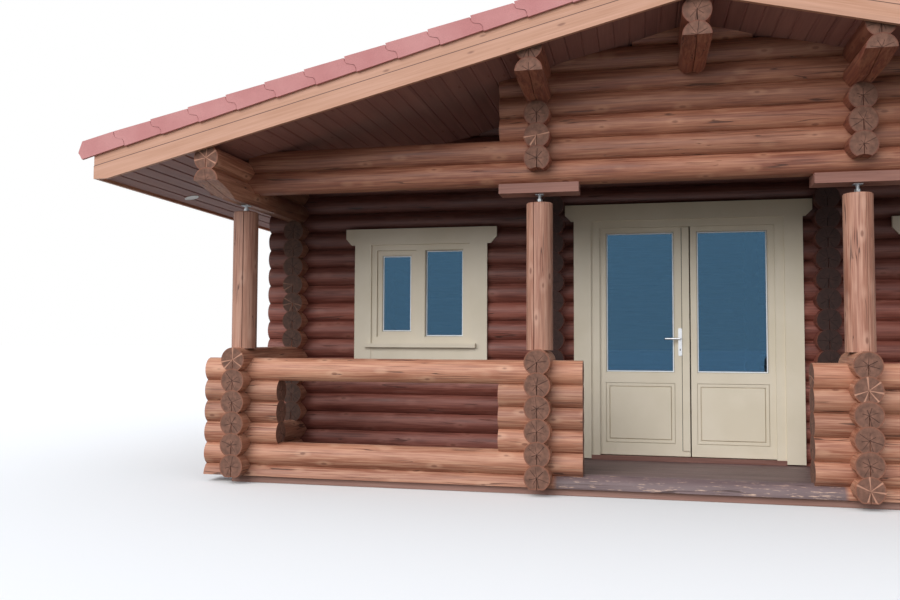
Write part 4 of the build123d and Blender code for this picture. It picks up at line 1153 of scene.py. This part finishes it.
def break_edges(piece, width):
    """Takes the sharpness off the corners of a piece."""
    edges = piece.modifiers.new("edges", "BEVEL")
    edges.width = width
    edges.segments = 1
    edges.limit_method = "ANGLE"
    edges.angle_limit = radians(SHARP_ANGLE)
    bpy.context.view_layer.objects.active = piece
    bpy.ops.object.modifier_apply(modifier=edges.name)


def curve_end(piece, side, at, joint_share):
    """Moves the points of one end to the S. joint_share is 1 if the end leaves the open joint, else 0."""
    for share, push, gap in END_CURVE:
        level = VERGE_LOW + VERGE_H * share
        at_level = lambda co: abs(abs(co.x) - at) < NEAR and abs(co.z - level) < NEAR
        shift_points(piece, at_level, (side * (push + gap * joint_share), 0, 0))


def cut_levels():
    """Cuts the piece that is open for editing at each level of the S."""
    for share, _, _ in END_CURVE[1:-1]:
        bpy.ops.mesh.select_all(action="SELECT")
        bpy.ops.mesh.bisect(plane_co=(0, 0, VERGE_LOW + VERGE_H * share), plane_no=(0, 0, 1))


print(covers, "covers of", round(UNIT_X * 1000), "mm on each slope")

# %% [markdown]
# A cover is a block that is cut at a few levels, so that the points of its two ends can be moved to the S.
# At its upper end it is 4 mm thinner and its top 8 mm lower, because it slips under the next cover, and the
# bottom of its lower end hangs down 8 mm. A flange on it lies on the tiles.

# %% One cover
def verge_cover(side, y_face, way):
    """The second cover of a slope, level. way is -1 at the front gable and 1 at the back."""
    y_out = y_face + way * VERGE_T
    low_end = VERGE_TIP - UNIT_X
    high_end = low_end - UNIT_X
    x = sorted((side * low_end, side * high_end))
    y = sorted((y_face, y_out))
    cover = add_block("cover", (x[0], y[0], VERGE_LOW), (x[1], y[1], VERGE_LOW + VERGE_H))
    edit(cover)
    cut_levels()
    curve_end(cover, side, low_end, 0)
    curve_end(cover, side, high_end, 1)
    at_high = lambda co: abs(co.x) < (low_end + high_end) / 2
    shift_points(cover, lambda co: at_high(co) and abs(co.y - y_out) < NEAR, (0, -way * VERGE_OUT, 0))
    top = VERGE_LOW + VERGE_H - NEAR
    shift_points(cover, lambda co: at_high(co) and co.z > top, (0, 0, -VERGE_STEP))
    shift_points(cover, lambda co: not at_high(co) and co.z < VERGE_LOW + NEAR, (0, 0, -VERGE_STEP))
    bpy.ops.object.mode_set(mode="OBJECT")
    y = sorted((y_face, y_face - way * FLANGE_W))
    flange = add_block("flange", (x[0], y[0], FLANGE_TOP - FLANGE_T), (x[1], y[1], FLANGE_TOP))
    edit(flange)
    shift_points(flange, at_high, (0, 0, -VERGE_STEP))
    bpy.ops.object.mode_set(mode="OBJECT")
    return [cover, flange]


# %% [markdown]
# The lowest cover has no cover below it, so its end is folded to a blunt point instead of an S.

# %% The lowest cover
def lowest_cover(side, y_face, way):
    """The first cover of a slope, with its end folded to a blunt point."""
    y = sorted((y_face, y_face + way * VERGE_T))
    high_end = VERGE_TIP - UNIT_X
    x = sorted((side * high_end, side * VERGE_TIP))
    low, high = VERGE_LOW, VERGE_LOW + VERGE_H
    cover = add_block("lowest", (x[0], y[0], low), (x[1], y[1], high))
    edit(cover)
    bpy.ops.mesh.bisect(plane_co=(side * (VERGE_TIP - VERGE_CAP), 0, 0), plane_no=(1, 0, 0))
    at_tip = lambda co: abs(abs(co.x) - VERGE_TIP) < NEAR
    point_low, point_high = [low + (high - low) * share for share in CAP_POINT]
    shift_points(cover, lambda co: at_tip(co) and co.z < point_low, (0, 0, point_low - low))
    shift_points(cover, lambda co: at_tip(co) and co.z > point_high, (0, 0, point_high - high))
    cut_levels()
    curve_end(cover, side, high_end, 1)
    halfway = (high_end + VERGE_TIP) / 2
    shift_points(cover, lambda co: abs(co.x) > halfway and co.z < low + NEAR, (0, 0, -VERGE_STEP))
    bpy.ops.object.mode_set(mode="OBJECT")
    return cover


# %% [markdown]
# An Array repeats the cover up the slope. The run gets its lowest cover and a strip behind that closes the
# open joints, is slanted, and is trimmed where it meets the run of the other slope.

# %% The covers of both gables
verge_ends = (("front", verge_low.y + VERGE_T, -1), ("back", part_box("back_verge")[1].y - VERGE_T, 1))
for end, y_face, way in verge_ends:
    runs = []
    for side in (-1, 1):
        run = join("run", verge_cover(side, y_face, way))
        repeat(run, covers, (-side * UNIT_X, 0, 0))
        x = sorted((0, side * (VERGE_TIP - STRIP_SHORT)))
        y = sorted((y_face, y_face + way * (VERGE_T - STRIP_BACK)))
        z = (VERGE_LOW + STRIP_UP, VERGE_LOW + VERGE_H - STRIP_UNDER)
        strip = add_block("strip", (x[0], y[0], z[0]), (x[1], y[1], z[1]))
        run = join("run", [run, lowest_cover(side, y_face, way), strip])
        slant(run, side)
        trim_upright(run, side * FIT, -side)
        break_edges(run, VERGE_EDGE)
        runs.append(run)
    put(join(f"{end}_verge_covers", runs), "cabin", verge_red, "verge", f"{end}_verge")

# %% [markdown]
# Ridge pieces cover the joint of the two slopes, each lapped a little over the next one behind. One wing of
# a piece is a block with its front end raised. It is made flat, laid on its slope and trimmed where the two
# wings meet over the ridge.

# %% Ridge pieces
RIDGE_LOW = 0.2863
RIDGE_T = 0.012
RIDGE_RAISE = 0.008
RIDGE_LIP = 0.013
RIDGE_EDGE = 0.003
RIDGE_OVER = 0.090
RIDGE_PIECES = 18
ridge_low, ridge_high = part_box("ridge_cap")
RIDGE_U = (ridge_high.x - (RIDGE_LOW + RIDGE_T + RIDGE_RAISE) * sin(PITCH)) / LEAN
ridge_pitch = (ridge_high.y - ridge_low.y) / RIDGE_PIECES
wings = []
for side in (-1, 1):
    span = (ridge_low.y, ridge_low.y + ridge_pitch)
    wing = flat_block("wing", side, (-RIDGE_OVER, RIDGE_U), span, (RIDGE_LOW, RIDGE_LOW + RIDGE_T))
    edit(wing)
    shift_points(wing, lambda co: co.y < span[0] + NEAR and co.z > RIDGE_LOW + NEAR, (0, 0, RIDGE_RAISE))
    shift_points(wing, lambda co: side * co.x > 0 and co.z < RIDGE_LOW + NEAR, (0, 0, -RIDGE_LIP))
    bpy.ops.mesh.select_all(action="SELECT")
    bpy.ops.mesh.bevel(offset=RIDGE_EDGE, segments=1, affect="EDGES")
    bpy.ops.object.mode_set(mode="OBJECT")
    repeat(wing, RIDGE_PIECES, (0, ridge_pitch, 0))
    lay_on_slope(wing, side)
    trim_upright(wing, 0, -side)
    wings.append(wing)
put(join("ridge_pieces", wings), "cabin", verge_red, "verge", "ridge_cap")
print(RIDGE_PIECES, "ridge pieces,", round(ridge_pitch * 1000), "mm each")

# %% [markdown]
# Glass is held by thin painted beads, with a black rubber seal inside them, and the spacer bar of the double
# pane shows as a pale line inside that. Each is a ring: a plane is inset, its middle is deleted, and what is
# left is extruded.

# %% Beads, seals and spacer bars
BEAD_W = 0.005
BEAD_EDGE = 0.0015
SEAL_W = 0.002
SEAL_OUT = 0.003
SPACER_W = 0.009
SPACER_OUT = 0.001
SKIN = 0.0002


def add_ring(name, x, z, y, width, edge=0.0):
    """A rectangular ring that faces the front: its outer sides in x and z, its front and back in y."""
    bpy.ops.object.select_all(action="DESELECT")
    place = ((x[0] + x[1]) / 2, y[1], (z[0] + z[1]) / 2)
    bpy.ops.mesh.primitive_plane_add(size=1, location=place, rotation=(pi / 2, 0, 0))
    ring = bpy.context.object
    ring.name = name
    ring.scale = (x[1] - x[0], z[1] - z[0], 1)
    bpy.ops.object.transform_apply()
    edit(ring)
    bpy.ops.mesh.select_mode(type="FACE")
    bpy.ops.mesh.select_all(action="SELECT")
    bpy.ops.mesh.inset(thickness=width, depth=0)
    bpy.ops.mesh.delete(type="FACE")
    bpy.ops.mesh.select_all(action="SELECT")
    bpy.ops.mesh.extrude_region_move(TRANSFORM_OT_translate={"value": (0, y[0] - y[1], 0)})
    bpy.ops.mesh.select_all(action="SELECT")
    bpy.ops.mesh.normals_make_consistent(inside=False)
    if edge:
        bpy.ops.mesh.bevel(offset=edge, segments=1, affect="EDGES")
    bpy.ops.object.mode_set(mode="OBJECT")
    return ring


def shrink(span, by):
    """A span with both its ends moved in."""
    return span[0] + by, span[1] - by


def glass_rings(x, z, glass_y, bead_y):
    """Beads on both faces of a pane, and the seal and spacer bar that show inside the outer one."""
    x, z = shrink(x, SKIN), shrink(z, SKIN)
    beads = [add_ring("bead", x, z, (bead_y[0], glass_y[0] - SKIN), BEAD_W, BEAD_EDGE),
             add_ring("bead", x, z, (glass_y[1] + SKIN, bead_y[1]), BEAD_W, BEAD_EDGE)]
    seal_x, seal_z = shrink(x, BEAD_W), shrink(z, BEAD_W)
    seal = add_ring("seal", seal_x, seal_z, (glass_y[0] - SEAL_OUT, glass_y[0] - SKIN), SEAL_W)
    bar_x, bar_z = shrink(seal_x, SEAL_W), shrink(seal_z, SEAL_W)
    bar = add_ring("bar", bar_x, bar_z, (glass_y[0] - SPACER_OUT, glass_y[0] - SKIN), SPACER_W)
    return beads, seal, bar


print("beads", BEAD_W * 1000, "mm wide, spacer bars", SPACER_W * 1000, "mm")

# %% [markdown]
# A window has an opening sash on its left and a fixed pane on its right. The set of rings for the two is
# made once, with Y = 0 on the axis of the wall, and copied to all six windows: two at the front, two at the
# back and one in each side wall.

# %% The rings of the windows
WINDOW_X = 2.290
SIDE_WINDOW_Y = POST_Y + 3.560
SASH_PANE = ((-0.361, -0.084), (BASE + 1.139, BASE + 1.832))
FIXED_PANE = ((0.042, 0.393), (BASE + 1.096, BASE + 1.875))
PANE_Y = (-0.073, -0.049)
SASH_BEAD_Y = (-0.084, -0.032)
FIXED_BEAD_Y = (-0.098, -0.032)
sash_set = glass_rings(*SASH_PANE, PANE_Y, SASH_BEAD_Y)
fixed_set = glass_rings(*FIXED_PANE, PANE_Y, FIXED_BEAD_Y)
one_window = {
    "beads": join("beads", sash_set[0] + fixed_set[0]),
    "seals": join("seals", [sash_set[1], fixed_set[1]]),
    "bars": join("bars", [sash_set[2], fixed_set[2]]),
}
windows = {"front": [Matrix.Translation((x, FRONT_Y, 0)) for x in (-WINDOW_X, WINDOW_X)]}
turned = Matrix.Rotation(pi, 4, "Z")
windows["other"] = [Matrix.Translation((x, BACK_Y, 0)) @ turned for x in (-WINDOW_X, WINDOW_X)]
for side in (-1, 1):
    stand = Matrix.Translation((side * CORNER_X, SIDE_WINDOW_Y, 0))
    windows["other"].append(stand @ Matrix.Rotation(side * pi / 2, 4, "Z"))
ring_finish = {"beads": (paint, "painted"), "seals": (rubber, "painted"), "bars": (spacer, "steel")}
for group, places in windows.items():
    for kind, ring in one_window.items():
        rings = [copy_of(ring, kind, place) for place in places]
        put(join(f"{group}_window_{kind}", rings), "cabin", *ring_finish[kind])
for ring in one_window.values():
    bpy.data.objects.remove(ring)

# %% [markdown]
# Each door leaf gets a set of its own, on both faces of its pane. The set goes with the body of its leaf, so
# that it swings with the door.

# %% The rings of the doors
LEAF_MARGIN = 0.018
LEAF_INSET = 0.002
for side in ("left", "right"):
    low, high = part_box(f"{side}_door_glass")
    span = ((low.x - FIT, high.x + FIT), (low.z - FIT, high.z + FIT))
    leaf_y = shrink((low.y - LEAF_MARGIN, high.y + LEAF_MARGIN), LEAF_INSET)
    beads, seal, bar = glass_rings(*span, (low.y, high.y), leaf_y)
    put(join(f"{side}_door_beads", beads), f"{side}_door", paint, "painted")
    seal.name = f"{side}_door_seal"
    put(seal, f"{side}_door", rubber, "painted")
    bar.name = f"{side}_door_bar"
    put(bar, f"{side}_door", spacer, "steel")

# %% [markdown]
# The lower panel of each leaf is framed on both faces by a flat bead, set in with a thin open joint that
# shows as a dark line. It is a ring again.

# %% Panel beads
PANEL_Z = (BASE + 0.211, BASE + 0.715)
PANEL_BACK = 0.015
PANEL_BEAD_W = 0.026
PANEL_BEAD_IN = 0.004
PANEL_BEAD_EDGE = 0.002
OPEN_JOINT = 0.003
for side in ("left", "right"):
    low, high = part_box(f"{side}_door_glass")
    x = (low.x - FIT + OPEN_JOINT, high.x + FIT - OPEN_JOINT)
    z = shrink(PANEL_Z, OPEN_JOINT)
    front, back = low.y - LEAF_MARGIN, high.y + LEAF_MARGIN
    outside = (front + PANEL_BEAD_IN, front + PANEL_BACK - SKIN)
    inside = (back - PANEL_BACK + SKIN, back - PANEL_BEAD_IN)
    rings = [add_ring("bead", x, z, y, PANEL_BEAD_W, PANEL_BEAD_EDGE) for y in (outside, inside)]
    put(join(f"{side}_panel_beads", rings), f"{side}_door", paint, "painted")

# %% [markdown]
# The meeting strip between the leaves has a dark line down its left side, where its rubber seal shows. The
# seal is one thin block, and it goes with the left leaf, as the strip does.

# %% Meeting seal
MEETING_X = -0.029
MEETING_Z = (BASE + 0.153, BASE + 2.022)
MEETING_W = 0.004
MEETING_EDGE = 0.0008
leaf_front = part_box("left_door_glass")[0].y - LEAF_MARGIN
seal_low = (MEETING_X - MEETING_W, leaf_front - SEAL_OUT, MEETING_Z[0])
seal_high = (MEETING_X, leaf_front - SKIN, MEETING_Z[1])
meeting_seal = add_block("meeting_seal", seal_low, seal_high, MEETING_EDGE)
put(meeting_seal, "left_door", rubber, "painted")

# %% [markdown]
# Under the lever, each handle plate has a keyhole. It is a short dark plug: a round hole with a slot below
# it, on both faces of the left leaf.

# %% Keyhole
plates_low, plates_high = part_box("handle_plates")
KEY_X = (plates_low.x + plates_high.x) / 2
KEY_UP = 0.055
KEY_Z = plates_low.z + KEY_UP
KEY_R = 0.0045
KEY_SLOT = 2 * KEY_R
KEY_T = 0.001
holes = []
for y in (plates_low.y, plates_high.y):
    bpy.ops.object.select_all(action="DESELECT")
    bpy.ops.mesh.primitive_cylinder_add(vertices=24, radius=KEY_R, depth=KEY_T, location=(KEY_X, y, KEY_Z),
                                        rotation=(pi / 2, 0, 0))
    hole = bpy.context.object
    bpy.ops.object.transform_apply()
    edit(hole)
    shift_points(hole, lambda co: co.z < KEY_Z - KEY_R / 2, (0, 0, -KEY_SLOT))
    bpy.ops.object.mode_set(mode="OBJECT")
    holes.append(hole)
put(join("keyholes", holes), "left_door", rubber, "handle")
